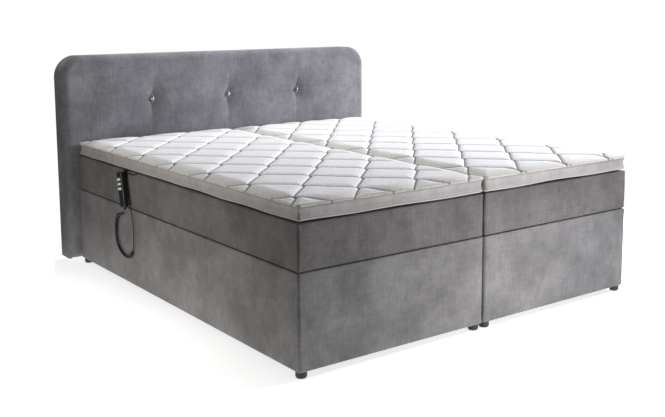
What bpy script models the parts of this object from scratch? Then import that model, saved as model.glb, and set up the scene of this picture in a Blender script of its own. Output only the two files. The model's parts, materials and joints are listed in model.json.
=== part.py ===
"""Motorised box-spring bed for two, lying flat: metres, +Z up, floor at z = 0.

The foot end faces -Y and the headboard stands at +Y. The two sides of the bed are
built by the same functions, and each lifts by itself. A distance called s is
measured along the bed from its foot face towards the head.
"""

import math

import bmesh
import bpy
from mathutils import Matrix, Vector

# Overall sizes.
SIDE_WIDTH = 0.900  # one sleeping side, from the middle of the bed to its edge
BED_LENGTH = 2.000
GLIDE_HEIGHT = 0.025
BOX_TOP = 0.383
MATTRESS_HEIGHT = 0.173
TOPPER_HEIGHT = 0.078
HEADBOARD_TOP = 1.062
HEADBOARD_BOTTOM = 0.020
HEADBOARD_THICKNESS = 0.130
HEADBOARD_OVERHANG = 0.060
HEADBOARD_CORNER = 0.112

# Clearances.
TOUCH = 0.0004  # between pieces that rest on each other
BOX_CLEAR = 0.003  # from the middle of the bed to each box
MATTRESS_CLEAR = 0.004  # from the middle of the bed, and from the outer edge
TOPPER_CLEAR = 0.005
SEAM = 0.003  # shadow gap between box and mattress, and mattress and topper
HEAD_CLEAR = 0.015  # lets the mattress swing past the headboard
SECTION_CLEAR = 0.006  # between moving and fixed rails
HINGE_RUN = 0.0006  # radial, pin in hole

# Base box.
WALL = 0.024
FLOOR_BOARD = 0.012
LEDGE_CLEAR = 0.004  # from the hangers of the shafts to the ledge
BOX_CORNER = 0.010

# Glides.
GLIDE_RADIUS = 0.0215
GLIDE_INSET = 0.0275

# Lifting frame.
CALF_LENGTH = 0.490
THIGH_LENGTH = 0.360
SEAT_LENGTH = 0.390
BACK_LENGTH = 0.680
FOOT_GAP = 0.030  # from the foot face to the end of the calf section
RAIL_WIDTH = 0.025
RAIL_HEIGHT = 0.030
FIXED_RAIL_WIDTH = 0.028
FLANGE_WIDTH = 0.040
FLANGE_THICKNESS = 0.008
FLANGE_DROP = 0.003  # air under the moving rails
SLAT_THICKNESS = 0.012
SLAT_WIDTH = 0.062
SLAT_BITE = 0.003  # how far a slat is let into its rails
SLAT_EDGE = 0.004  # rounding of a slat, deeper than it is let in
EDGE = 0.0016  # rounding of rails and arms
HINGE_PIN_RADIUS = 0.006
RAIL_SETBACK = 0.014  # from the knee axis to each rail end
EYE_RADIUS = 0.0142  # rounded rail end about a hinge, inside the rail's height
EYE_INSET = 0.0007  # each flat of an eye inside the rail's flats
EYE_LAP = 0.002  # from the hinge axis to where the rail starts
LUG_THICKNESS = 0.008
LUG_REACH = 0.090  # from the knee axis along the calf rail
LUG_HALF_HEIGHT = 0.011
TONGUE_HALF = 0.010  # half height of the thigh rails' tongues at the knee
PIN_BITE = 0.004  # how far a pin runs into wood past its last bearing
HOLE_PAST = 0.010  # how far a cutter reaches past the wall it cuts
FIXED_END = 0.002  # from the box wall to each end of the fixed frame
END_CROSS_LENGTH = 0.040
SEAT_CROSS_LENGTH = 0.050
SEAT_CROSS_FROM_THIGH = 0.030
SEAT_CROSS_FROM_BACK = 0.080
END_RAIL_LENGTH = 0.044
INSET = 0.001  # keeps a joined bar's faces off its neighbour's
SEAT_SLATS = 3
BACK_SLATS = 6
THIGH_SLATS = 3
CALF_SLATS = 5
RUNNER_X = 0.250
RUNNER_WIDTH = 0.022

# Lift shafts.
SHAFT_RADIUS = 0.012
SHAFT_DROP = 0.050  # below the hinge line
BACK_SHAFT_OFFSET = 0.030  # from the hinge, towards the section it lifts
LEG_SHAFT_OFFSET = 0.016
ARM_REACH = 0.190
LEG_ARM_REACH = 0.150
ARM_THICKNESS = 0.010
ARM_DEPTH = 0.022
ROLLER_RADIUS = 0.014
ROLLER_WIDTH = 0.018
CRANK_LENGTH = 0.066
CRANK_THICKNESS = 0.016
CRANK_WIDTH = 0.026
HANGER_THICKNESS = 0.008
HANGER_INSET = 0.001  # hanger inside the rail's inner face
HANGER_REACH = 0.023  # from the shaft's axis to the hanger's edges
HINGE_TO_SEAT_SLAT = 0.022
HINGE_TO_SLAT = 0.026
SLAT_TO_END = 0.004

# Drive.
DRIVE_WIDTH = 0.150
DRIVE_HEIGHT = 0.100
DRIVE_END_CLEAR = 0.030  # from the crank's face to the housing
CARRIAGE_SIDE = 0.016
CARRIAGE_LENGTH = 0.085
CARRIAGE_CLEAR = 0.001
CARRIAGE_DROP = 0.045  # below the shaft's axis
MOTOR_RADIUS = 0.034
MOTOR_SETBACK = 0.060  # from each end of the housing
MOTOR_DROP = 0.030  # from the housing's underside to the motor's axis

# Bends of the mattress and topper: the axes that the slabs turn about.
BACK_ANGLE = math.radians(60)
THIGH_ANGLE = math.radians(30)
KNEE_RATIO = 1.69
BACK_BEND_Z = 0.430
BACK_BEND_SPAN = 0.225  # between the two back bends
THIGH_BEND_Z = 0.430
KNEE_BEND_Z = 0.540
SLAB_GAP = 0.0006

# Tuft buttons.
TUFT_SPACING = 0.466
TUFT_HEIGHT = 0.822
TUFT_RADIUS = 0.011
TUFT_PROUD = 0.008
TUFT_POCKET = 0.016

# Handset, on the left side.
HANDSET_LENGTH = 0.165
HANDSET_WIDTH = 0.052
HANDSET_THICKNESS = 0.023
HANDSET_TILT = math.radians(12)
HANDSET_BACK = 0.0145  # from the mattress side to the handset's back
PEG_S = 1.413
PEG_DROP = 0.0165  # from the mattress's top to the peg
PEG_BELOW_TOP = 0.013
PEG_RADIUS = 0.0035
PEG_CAP_RADIUS = 0.0065
PEG_CAP = 0.003
KEY_WIDTH = 0.036
KEY_HEIGHT = 0.0125
KEY_PITCH = 0.0215
KEY_FIRST = 0.036  # from the handset's top to the first key
KEY_PROUD = 0.0018
KEY_DEPTH = 0.005
KEY_CLEAR = 0.0005
GLAND_RADIUS = 0.0048
GLAND_LENGTH = 0.014
STRAP_WIDTH = 0.030
STRAP_THICKNESS = 0.003
STRAP_DROP = 0.032

# Handset cord.
LEAD_RADIUS = 0.0024
CURL_RADIUS = 0.0068
CABLE_EXIT_S = 1.3065
NOTCH_WIDTH = 0.016
NOTCH_HEIGHT = 0.009
NOTCH_DEPTH = 0.030

# Derived places.
TOTAL_LENGTH = BED_LENGTH + BOX_CLEAR + HEADBOARD_THICKNESS
FOOT_Y = -TOTAL_LENGTH / 2
SIDE_X = SIDE_WIDTH / 2
MATTRESS_BOTTOM = BOX_TOP + SEAM
MATTRESS_TOP = MATTRESS_BOTTOM + MATTRESS_HEIGHT
PEG_Z = MATTRESS_TOP - PEG_DROP
TOPPER_BOTTOM = MATTRESS_TOP + SEAM
TOPPER_TOP = TOPPER_BOTTOM + TOPPER_HEIGHT
SLAT_TOP = MATTRESS_BOTTOM - TOUCH
RAIL_TOP = SLAT_TOP - SLAT_THICKNESS + SLAT_BITE
RAIL_BOTTOM = RAIL_TOP - RAIL_HEIGHT
HINGE_Z = (RAIL_TOP + RAIL_BOTTOM) / 2
INNER_X = SIDE_X - BOX_CLEAR / 2 - WALL - FIXED_END  # outer face of the fixed rails
FIXED_IN_X = INNER_X - FIXED_RAIL_WIDTH
MOVING_OUT_X = FIXED_IN_X - SECTION_CLEAR
MOVING_IN_X = MOVING_OUT_X - RAIL_WIDTH
LUG_OUT_X = MOVING_IN_X - SECTION_CLEAR / 2
HANGER_IN_X = FIXED_IN_X - HANGER_INSET
HANGER_OUT_X = HANGER_IN_X + HANGER_THICKNESS
LEDGE_IN_X = HANGER_OUT_X + LEDGE_CLEAR
FLANGE_TOP = RAIL_BOTTOM - FLANGE_DROP
FLANGE_BOTTOM = FLANGE_TOP - FLANGE_THICKNESS
KNEE_S = FOOT_GAP + CALF_LENGTH
THIGH_HINGE_S = KNEE_S + THIGH_LENGTH
BACK_HINGE_S = THIGH_HINGE_S + SEAT_LENGTH
BACK_END_S = BACK_HINGE_S + BACK_LENGTH
MATTRESS_FOOT_S = 0.003
MATTRESS_HEAD_S = BED_LENGTH - HEAD_CLEAR
SHAFT_Z = HINGE_Z - SHAFT_DROP
BACK_SHAFT_S = BACK_HINGE_S + BACK_SHAFT_OFFSET
LEG_SHAFT_S = THIGH_HINGE_S - LEG_SHAFT_OFFSET

scene_collection = bpy.context.scene.collection
parts = None
cutters = None


def y_of(s):
    """World Y of a place s metres from the foot face."""
    return FOOT_Y + s


def clear_scene():
    for old in list(bpy.data.objects):
        bpy.data.objects.remove(old, do_unlink=True)


def new_collection(name):
    collection = bpy.data.collections.new(name)
    scene_collection.children.link(collection)
    return collection


def material(name, colour, roughness, metallic=0.0):
    made = bpy.data.materials.new(name)
    made.use_nodes = True
    shader = made.node_tree.nodes["Principled BSDF"]
    shader.inputs["Base Color"].default_value = (*colour, 1.0)
    shader.inputs["Roughness"].default_value = roughness
    shader.inputs["Metallic"].default_value = metallic
    return made


def object_from(mesh_data, name, collection=None):
    """A new object from a bmesh, with its normals facing out."""
    mesh = bpy.data.meshes.new(name)
    bmesh.ops.recalc_face_normals(mesh_data, faces=mesh_data.faces)
    mesh_data.to_mesh(mesh)
    mesh_data.free()
    made = bpy.data.objects.new(name, mesh)
    (collection or parts).objects.link(made)
    return made


def block(name, low, high, bevel=0.0, segments=2, collection=None):
    """A box between two corners, with its edges rounded if bevel is given."""
    shape = bmesh.new()
    bmesh.ops.create_cube(shape, size=1.0)
    size = [high[i] - low[i] for i in range(3)]
    middle = [(high[i] + low[i]) / 2 for i in range(3)]
    bmesh.ops.scale(shape, vec=size, verts=shape.verts)
    bmesh.ops.translate(shape, vec=middle, verts=shape.verts)
    if bevel:
        bmesh.ops.bevel(
            shape,
            geom=list(shape.edges),
            offset=bevel,
            segments=segments,
            profile=0.5,
            affect="EDGES",
        )
    return object_from(shape, name, collection)


def rod(name, start, end, radius, sides=24, collection=None):
    """A round bar from start to end."""
    start, end = Vector(start), Vector(end)
    shape = bmesh.new()
    bmesh.ops.create_cone(
        shape,
        cap_ends=True,
        segments=sides,
        radius1=radius,
        radius2=radius,
        depth=(end - start).length,
    )
    turn = (end - start).to_track_quat("Z", "Y").to_matrix().to_4x4()
    bmesh.ops.transform(shape, matrix=Matrix.Translation((start + end) / 2) @ turn, verts=shape.verts)
    return object_from(shape, name, collection)


def apply_modifiers(obj):
    graph = bpy.context.evaluated_depsgraph_get()
    mesh = bpy.data.meshes.new_from_object(obj.evaluated_get(graph))
    obj.modifiers.clear()
    obj.data = mesh


def combine(obj, others, operation, solver="EXACT"):
    """Joins the others to obj, or cuts them from it, and removes them."""
    for other in others:
        step = obj.modifiers.new(operation.title(), "BOOLEAN")
        step.operation = operation
        step.solver = solver
        step.object = other
    bpy.context.view_layer.update()
    apply_modifiers(obj)
    for other in others:
        bpy.data.objects.remove(other, do_unlink=True)
    return obj


def join(obj, others):
    """A union of many bars, which the exact solver leaves open where their edges nearly meet."""
    return combine(obj, others, "UNION", "MANIFOLD")


def cut(obj, others):
    return combine(obj, others, "DIFFERENCE")


def finish(obj, finish_material):
    obj.data.materials.clear()
    obj.data.materials.append(finish_material)
    obj.data.shade_smooth()
    obj.data.set_sharp_from_angle(angle=math.radians(35))
    return obj


def put_origin(obj, place):
    """Moves an object's origin to a joint's axis, and leaves its shape where it is."""
    place = Vector(place)
    obj.data.transform(Matrix.Translation(-place))
    obj.location = place
    return obj


# Headboard -----------------------------------------------------------------------


def build_headboard(fabric, button):
    """A padded panel with rounded top corners, and a shallow pocket for each button."""
    half = SIDE_WIDTH + HEADBOARD_OVERHANG
    front = y_of(BED_LENGTH + BOX_CLEAR)
    curve = bpy.data.curves.new("headboard_outline", "CURVE")
    curve.dimensions = "2D"
    curve.fill_mode = "BOTH"
    curve.extrude = HEADBOARD_THICKNESS / 2 - 0.012
    curve.bevel_depth = 0.012
    curve.bevel_resolution = 2
    curve.offset = -0.012
    outline = [(half, HEADBOARD_BOTTOM)]
    steps = 8
    for side in (1, -1):
        for i in range(steps + 1):
            turn = math.pi / 2 * (i if side == 1 else steps - i) / steps
            x = half - HEADBOARD_CORNER + HEADBOARD_CORNER * math.cos(turn)
            z = HEADBOARD_TOP - HEADBOARD_CORNER + HEADBOARD_CORNER * math.sin(turn)
            outline.append((side * x, z))
    outline.append((-half, HEADBOARD_BOTTOM))
    spline = curve.splines.new("POLY")
    spline.points.add(len(outline) - 1)
    for point, (x, z) in zip(spline.points, outline):
        point.co = (x, z, 0, 1)
    spline.use_cyclic_u = True
    flat = bpy.data.objects.new("headboard_outline", curve)
    parts.objects.link(flat)
    bpy.context.view_layer.update()
    graph = bpy.context.evaluated_depsgraph_get()
    mesh = bpy.data.meshes.new_from_object(flat.evaluated_get(graph))
    bpy.data.objects.remove(flat, do_unlink=True)
    shape = bmesh.new()
    shape.from_mesh(mesh)
    bmesh.ops.remove_doubles(shape, verts=shape.verts, dist=1e-5)
    turn = Matrix.Rotation(math.pi / 2, 4, "X")
    place = Matrix.Translation((0, front + HEADBOARD_THICKNESS / 2, 0))
    bmesh.ops.transform(shape, matrix=place @ turn, verts=shape.verts)
    headboard = object_from(shape, "headboard")
    pockets = []
    for i in (-1, 0, 1):
        x = i * TUFT_SPACING
        pockets.append(
            rod(
                "pocket",
                (x, front - 0.01, TUFT_HEIGHT),
                (x, front + TUFT_POCKET, TUFT_HEIGHT),
                TUFT_RADIUS + 0.002,
                20,
                cutters,
            )
        )
    finish(cut(headboard, pockets), fabric)
    for i, side in zip((-1, 0, 1), ("left", "middle", "right")):
        build_tuft_button(f"tuft_button_{side}", i * TUFT_SPACING, front, button)


def build_tuft_button(name, x, front, finish_material):
    """A turned button: a flat back, a short wall and a domed front, on a screw profile."""
    back = TUFT_POCKET - TOUCH
    wall = TUFT_POCKET - TUFT_PROUD
    profile = [(0.0, back), (TUFT_RADIUS, back), (TUFT_RADIUS, wall)]
    for i in range(1, 6):
        turn = math.pi / 2 * i / 5
        profile.append((TUFT_RADIUS * math.cos(turn), wall - TUFT_PROUD * math.sin(turn) * 0.6))
    profile[-1] = (0.0, profile[-1][1])
    shape = bmesh.new()
    points = [shape.verts.new((radius, 0, -depth)) for radius, depth in reversed(profile)]
    for first, second in zip(points, points[1:]):
        shape.edges.new((first, second))
    bmesh.ops.spin(
        shape,
        geom=list(shape.verts) + list(shape.edges),
        cent=(0, 0, 0),
        axis=(0, 0, 1),
        angle=2 * math.pi,
        steps=24,
        use_merge=True,
    )
    bmesh.ops.remove_doubles(shape, verts=shape.verts, dist=1e-6)
    turn = Matrix.Rotation(math.pi / 2, 4, "X")
    bmesh.ops.transform(shape, matrix=Matrix.Translation((x, front, TUFT_HEIGHT)) @ turn, verts=shape.verts)
    finish(object_from(shape, name), finish_material)


# Base boxes and glides ------------------------------------------------------------


def build_base_box(side, middle, fabric):
    """An open-topped upholstered box with a ledge for the fixed frame on each long wall."""
    half = SIDE_X - BOX_CLEAR / 2
    x = middle
    low = (x - half, y_of(0), GLIDE_HEIGHT + TOUCH)
    high = (x + half, y_of(BED_LENGTH), BOX_TOP)
    box = block(f"base_box_{side}", low, high, BOX_CORNER, 2)
    hollow_top = FLANGE_BOTTOM - TOUCH
    inner = half - WALL
    ends = (y_of(WALL), y_of(BED_LENGTH - WALL))
    lower = block(
        "hollow_low",
        (x - LEDGE_IN_X, ends[0], GLIDE_HEIGHT + FLOOR_BOARD),
        (x + LEDGE_IN_X, ends[1], hollow_top + 0.01),
        collection=cutters,
    )
    upper = block(
        "hollow_high",
        (x - inner, ends[0], hollow_top),
        (x + inner, ends[1], BOX_TOP + 2 * HOLE_PAST),
        collection=cutters,
    )
    finish(cut(box, [lower, upper]), fabric)


def build_glides(side, middle, plastic):
    """Four round glides under a box, each a disc with a chamfered foot."""
    half = SIDE_X - BOX_CLEAR / 2
    for end, s in (("foot", GLIDE_INSET), ("head", BED_LENGTH - GLIDE_INSET)):
        for hand, sign in (("left", -1), ("right", 1)):
            x = middle + sign * (half - GLIDE_INSET)
            shape = bmesh.new()
            bmesh.ops.create_cone(
                shape,
                cap_ends=True,
                segments=28,
                radius1=GLIDE_RADIUS - 0.003,
                radius2=GLIDE_RADIUS,
                depth=0.006,
                matrix=Matrix.Translation((x, y_of(s), 0.003)),
            )
            top = [f for f in shape.faces if f.normal.z > 0.9]
            raised = bmesh.ops.extrude_discrete_faces(shape, faces=top)["faces"]
            corners = [v for f in raised for v in f.verts]
            bmesh.ops.translate(shape, vec=(0, 0, GLIDE_HEIGHT - 0.006), verts=corners)
            finish(object_from(shape, f"glide_{side}_{end}_{hand}"), plastic)


# Lifting frame --------------------------------------------------------------------


def rail(middle, sign, s0, s1, low=RAIL_BOTTOM, high=RAIL_TOP, inner=MOVING_IN_X, outer=MOVING_OUT_X):
    """A side rail of a section, on the left (sign -1) or right (+1) of a side's middle."""
    edges = sorted((middle + sign * inner, middle + sign * outer))
    return block("rail", (edges[0], y_of(s0), low), (edges[1], y_of(s1), high), EDGE, 1)


def cross_rail(middle, s0, s1, reach):
    """A cross rail, a little lower than the side rails it joins."""
    low = (middle - reach, y_of(s0), RAIL_BOTTOM + INSET)
    high = (middle + reach, y_of(s1), RAIL_TOP - INSET)
    return block("cross", low, high, EDGE, 1)


def slats(middle, s0, s1, count, reach):
    """Evenly spaced slats between s0 and s1, let into the rails below them."""
    made = []
    step = (s1 - s0 - SLAT_WIDTH) / (count - 1)
    for i in range(count):
        s = s0 + step * i
        low = (middle - reach, y_of(s), SLAT_TOP - SLAT_THICKNESS)
        high = (middle + reach, y_of(s + SLAT_WIDTH), SLAT_TOP)
        made.append(block("slat", low, high, SLAT_EDGE, 1))
    return made


def runners(middle, s0, s1):
    """The two bearers under the slats that the lever rollers push on."""
    made = []
    for sign in (-1, 1):
        x = middle + sign * RUNNER_X
        low = (x - RUNNER_WIDTH / 2, y_of(s0), SLAT_TOP - SLAT_THICKNESS - RAIL_HEIGHT / 2)
        high = (x + RUNNER_WIDTH / 2, y_of(s1), SLAT_TOP - SLAT_THICKNESS + SLAT_BITE)
        made.append(block("runner", low, high))
    return made


def hinge_pins(middle, s, inner, outer):
    """A pin on each side of a section, along X, from inner to outer."""
    made = []
    for sign in (-1, 1):
        ends = [(middle + sign * x, y_of(s), HINGE_Z) for x in (inner, outer)]
        made.append(rod("pin", ends[0], ends[1], HINGE_PIN_RADIUS, 20))
    return made


def pin_holes(middle, s, inner, outer):
    holes = []
    for sign in (-1, 1):
        ends = [(middle + sign * x, y_of(s), HINGE_Z) for x in (inner, outer)]
        holes.append(rod("hole", ends[0], ends[1], HINGE_PIN_RADIUS + HINGE_RUN, 20, cutters))
    return holes


def across(middle, sign, inner, outer):
    """The low and high X of a bar between two distances from a side's middle."""
    return sorted((middle + sign * inner, middle + sign * outer))


def build_fixed_frame(side, middle, wood):
    """Two long flanged rails, end cross rails, the seat slats and the hangers of the shafts."""
    s0, s1 = WALL + FIXED_END, BED_LENGTH - WALL - FIXED_END
    frame = rail(middle, -1, s0, s1, FLANGE_BOTTOM, RAIL_TOP, FIXED_IN_X, INNER_X)
    frame.name = f"fixed_frame_{side}"
    added = [rail(middle, 1, s0, s1, FLANGE_BOTTOM, RAIL_TOP, FIXED_IN_X, INNER_X)]
    for sign in (-1, 1):
        x0, x1 = across(middle, sign, FIXED_IN_X - FLANGE_WIDTH, FIXED_IN_X + PIN_BITE)
        low = (x0, y_of(s0 + INSET), FLANGE_BOTTOM + INSET / 2)
        added.append(block("flange", low, (x1, y_of(s1 - INSET), FLANGE_TOP)))
    reach = INNER_X - 6 * INSET
    for s in (s0 + 2 * INSET, s1 - 2 * INSET - END_CROSS_LENGTH):
        low = (middle - reach, y_of(s), FLANGE_BOTTOM - INSET / 5)
        high = (middle + reach, y_of(s + END_CROSS_LENGTH), FLANGE_TOP - TOUCH)
        added.append(block("end_cross", low, high))
    reach = INNER_X - 4 * INSET
    for s in (THIGH_HINGE_S + SEAT_CROSS_FROM_THIGH, BACK_HINGE_S - SEAT_CROSS_FROM_BACK):
        low = (middle - reach, y_of(s), RAIL_BOTTOM + INSET)
        high = (middle + reach, y_of(s + SEAT_CROSS_LENGTH), RAIL_TOP - INSET)
        added.append(block("seat_cross", low, high))
    first, last = THIGH_HINGE_S + HINGE_TO_SEAT_SLAT, BACK_HINGE_S - HINGE_TO_SEAT_SLAT
    added += slats(middle, first, last, SEAT_SLATS, INNER_X - 3 * INSET)
    for s in (LEG_SHAFT_S, BACK_SHAFT_S):
        for sign in (-1, 1):
            x0, x1 = across(middle, sign, HANGER_IN_X, HANGER_OUT_X)
            low = (x0, y_of(s - HANGER_REACH), SHAFT_Z - HANGER_REACH)
            high = (x1, y_of(s + HANGER_REACH), FLANGE_TOP + PIN_BITE)
            added.append(block("hanger", low, high, EDGE, 1))
    join(frame, added)
    holes = []
    for s in (THIGH_HINGE_S, BACK_HINGE_S):
        holes += pin_holes(middle, s, FIXED_IN_X - HOLE_PAST, INNER_X + HOLE_PAST)
    for s in (LEG_SHAFT_S, BACK_SHAFT_S):
        for sign in (-1, 1):
            reach = (HANGER_IN_X - HOLE_PAST, HANGER_OUT_X + HOLE_PAST)
            ends = [(middle + sign * x, y_of(s), SHAFT_Z) for x in reach]
            holes.append(rod("hole", *ends, SHAFT_RADIUS + HINGE_RUN, 24, cutters))
    finish(cut(frame, holes), wood)


def eyes(middle, s):
    """The rounded ends of a section's two rails, about a hinge axis at s."""
    made = []
    for sign in (-1, 1):
        reach = (MOVING_IN_X + EYE_INSET, MOVING_OUT_X - EYE_INSET)
        ends = [(middle + sign * x, y_of(s), HINGE_Z) for x in reach]
        made.append(rod("eye", *ends, EYE_RADIUS, 24))
    return made


def build_back_frame(side, middle, wood):
    """The back section: two rails, a head cross rail, slats, runners and the hinge pins."""
    start = BACK_HINGE_S + EYE_LAP
    frame = rail(middle, -1, start, BACK_END_S)
    frame.name = f"back_frame_{side}"
    added = [rail(middle, 1, start, BACK_END_S), *eyes(middle, BACK_HINGE_S)]
    cross = (BACK_END_S - INSET - END_RAIL_LENGTH, BACK_END_S - INSET)
    added.append(cross_rail(middle, *cross, MOVING_OUT_X - 3 * INSET))
    added += runners(middle, BACK_HINGE_S + 0.050, BACK_HINGE_S + 0.330)
    first, last = BACK_HINGE_S + HINGE_TO_SLAT, BACK_END_S - SLAT_TO_END
    added += slats(middle, first, last, BACK_SLATS, MOVING_OUT_X - INSET)
    added += hinge_pins(middle, BACK_HINGE_S, MOVING_IN_X + PIN_BITE, INNER_X - PIN_BITE)
    join(frame, added)
    put_origin(finish(frame, wood), (middle, y_of(BACK_HINGE_S), HINGE_Z))


def build_thigh_frame(side, middle, wood):
    """The thigh section, with pins for the seat hinge and for the knee."""
    knee_end, hip_end = KNEE_S + RAIL_SETBACK, THIGH_HINGE_S - EYE_LAP
    frame = rail(middle, -1, knee_end, hip_end)
    frame.name = f"thigh_frame_{side}"
    added = [rail(middle, 1, knee_end, hip_end), *eyes(middle, THIGH_HINGE_S)]
    added += runners(middle, KNEE_S + 0.070, THIGH_HINGE_S - 0.050)
    first, last = KNEE_S + HINGE_TO_SLAT + 0.010, THIGH_HINGE_S - HINGE_TO_SLAT
    added += slats(middle, first, last, THIGH_SLATS, MOVING_OUT_X - INSET)
    added += hinge_pins(middle, THIGH_HINGE_S, MOVING_IN_X + PIN_BITE, INNER_X - PIN_BITE)
    for sign in (-1, 1):
        x0, x1 = across(middle, sign, MOVING_IN_X + 3 * INSET, MOVING_OUT_X - 3 * INSET)
        low = (x0, y_of(KNEE_S - TONGUE_HALF), HINGE_Z - TONGUE_HALF)
        high = (x1, y_of(knee_end + TONGUE_HALF), HINGE_Z + TONGUE_HALF)
        added.append(block("knee_tongue", low, high, 0.006, 2))
    pin_start = LUG_OUT_X - LUG_THICKNESS - 2 * INSET
    added += hinge_pins(middle, KNEE_S, pin_start, MOVING_IN_X + 2 * PIN_BITE)
    join(frame, added)
    put_origin(finish(frame, wood), (middle, y_of(THIGH_HINGE_S), HINGE_Z))


def build_calf_frame(side, middle, wood):
    """The calf section, hung on the knee pins by a lug inside each thigh rail."""
    end = KNEE_S - RAIL_SETBACK - PIN_BITE
    frame = rail(middle, -1, FOOT_GAP, end)
    frame.name = f"calf_frame_{side}"
    added = [rail(middle, 1, FOOT_GAP, end)]
    cross = (FOOT_GAP + INSET, FOOT_GAP + INSET + END_RAIL_LENGTH)
    added.append(cross_rail(middle, *cross, MOVING_OUT_X - 3 * INSET))
    first, last = FOOT_GAP + SLAT_TO_END, end - HINGE_TO_SEAT_SLAT
    added += slats(middle, first, last, CALF_SLATS, MOVING_OUT_X - INSET)
    for sign in (-1, 1):
        x0, x1 = across(middle, sign, LUG_OUT_X - LUG_THICKNESS, LUG_OUT_X)
        low = (x0, y_of(KNEE_S - LUG_REACH), HINGE_Z - LUG_HALF_HEIGHT)
        high = (x1, y_of(KNEE_S + LUG_HALF_HEIGHT), HINGE_Z + LUG_HALF_HEIGHT)
        added.append(block("lug", low, high, EDGE, 1))
        reach = (LUG_OUT_X - LUG_THICKNESS + 2 * INSET, MOVING_IN_X + 6 * INSET)
        x0, x1 = across(middle, sign, *reach)
        half = LUG_HALF_HEIGHT - 2 * INSET
        low = (x0, y_of(KNEE_S - LUG_REACH + 5 * INSET), HINGE_Z - half)
        high = (x1, y_of(end - RAIL_SETBACK), HINGE_Z + half)
        added.append(block("lug_root", low, high))
    join(frame, added)
    holes = pin_holes(middle, KNEE_S, LUG_OUT_X - LUG_THICKNESS - HOLE_PAST, LUG_OUT_X + 2 * INSET)
    put_origin(finish(cut(frame, holes), wood), (middle, y_of(KNEE_S), HINGE_Z))


def build_shaft(name, middle, s, towards, reach, steel):
    """A lift shaft: a tube across the frame, a crank that hangs down, and two lever arms with rollers.

    towards is +1 when the arms point to the head and -1 when they point to the foot."""
    tube_reach = HANGER_OUT_X - 0.0005
    centre = (middle, y_of(s), SHAFT_Z)
    ends = [(middle + reach_x, y_of(s), SHAFT_Z) for reach_x in (-tube_reach, tube_reach)]
    shaft = rod(name, *ends, SHAFT_RADIUS)
    roller_z = SLAT_TOP - SLAT_THICKNESS - RAIL_HEIGHT / 2 - TOUCH * 2 - ROLLER_RADIUS
    roller_y = y_of(s) + towards * reach
    low = (middle - CRANK_WIDTH / 2, y_of(s) - CRANK_THICKNESS / 2, SHAFT_Z - CRANK_LENGTH)
    high = (middle + CRANK_WIDTH / 2, y_of(s) + CRANK_THICKNESS / 2, SHAFT_Z + 0.004)
    added = [block("crank", low, high)]
    for sign in (-1, 1):
        x = middle + sign * RUNNER_X
        start, end = Vector((x, y_of(s), SHAFT_Z)), Vector((x, roller_y, roller_z))
        arm = block(
            "arm",
            (-ARM_THICKNESS / 2, -0.004, -ARM_DEPTH / 2),
            (ARM_THICKNESS / 2, (end - start).length + 0.004, ARM_DEPTH / 2),
            0.002,
            1,
        )
        slope = math.atan2(end.z - start.z, end.y - start.y)
        arm.data.transform(Matrix.Translation(start) @ Matrix.Rotation(slope, 4, "X"))
        ends = [(x + side * ROLLER_WIDTH / 2, roller_y, roller_z) for side in (-1, 1)]
        added += [arm, rod("roller", ends[0], ends[1], ROLLER_RADIUS, 24)]
    put_origin(finish(join(shaft, added), steel), centre)


def build_drive(side, middle, plastic, steel):
    """The dual drive: a housing with a tunnel at each end for its push carriage, and two motors below."""
    front = LEG_SHAFT_S + CRANK_THICKNESS / 2 + DRIVE_END_CLEAR
    back = BACK_SHAFT_S - CRANK_THICKNESS / 2 - DRIVE_END_CLEAR
    axis_z = SHAFT_Z - CARRIAGE_DROP
    top = min(axis_z + DRIVE_HEIGHT / 2, RAIL_BOTTOM + 0.001 - 0.004)
    bottom = top - DRIVE_HEIGHT
    housing = block(
        f"drive_housing_{side}",
        (middle - DRIVE_WIDTH / 2, y_of(front), bottom),
        (middle + DRIVE_WIDTH / 2, y_of(back), top),
        0.010,
        2,
    )
    motors = []
    for sign in (-1, 1):
        x = middle + sign * (DRIVE_WIDTH / 2 - MOTOR_RADIUS)
        ends = (front + MOTOR_SETBACK, back - MOTOR_SETBACK)
        ends = [(x, y_of(s), bottom - MOTOR_DROP) for s in ends]
        motors.append(rod("motor", *ends, MOTOR_RADIUS, 28))
    lugs = []
    for s in (THIGH_HINGE_S + SEAT_CROSS_FROM_THIGH, BACK_HINGE_S - SEAT_CROSS_FROM_BACK):
        low = (middle - 0.020, y_of(s + 0.005), top - 0.010)
        high = (middle + 0.020, y_of(s + SEAT_CROSS_LENGTH - 0.005), RAIL_BOTTOM + INSET - TOUCH)
        lugs.append(block("lug", low, high))
    join(housing, motors + lugs)
    tunnels = []
    inner = CARRIAGE_SIDE / 2 + CARRIAGE_CLEAR
    for start, end in ((front - 0.01, front + CARRIAGE_LENGTH), (back - CARRIAGE_LENGTH, back + 0.01)):
        low = (middle - inner, y_of(start), axis_z - inner)
        high = (middle + inner, y_of(end), axis_z + inner)
        tunnels.append(block("tunnel", low, high, collection=cutters))
    finish(cut(housing, tunnels), plastic)
    for name, shaft_s, sign in (("leg", LEG_SHAFT_S, 1), ("back", BACK_SHAFT_S, -1)):
        face_s = shaft_s + sign * CRANK_THICKNESS / 2
        build_carriage(f"{name}_carriage_{side}", middle, face_s, sign, axis_z, steel)


def build_carriage(name, middle, face_s, inward, axis_z, steel):
    """A square push bar with a rounded nose against the crank's face."""
    half = CARRIAGE_SIDE / 2
    nose = face_s + inward * (half + TOUCH)
    tail = face_s + inward * CARRIAGE_LENGTH
    s0, s1 = sorted((nose, tail))
    bar = block(name, (middle - half, y_of(s0), axis_z - half), (middle + half, y_of(s1), axis_z + half))
    ends = [(middle + sign * (half - TOUCH), y_of(nose), axis_z) for sign in (-1, 1)]
    tip = rod("nose", *ends, half - TOUCH / 2, 24)
    finish(join(bar, [tip]), steel)


# Mattress and topper --------------------------------------------------------------


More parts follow.
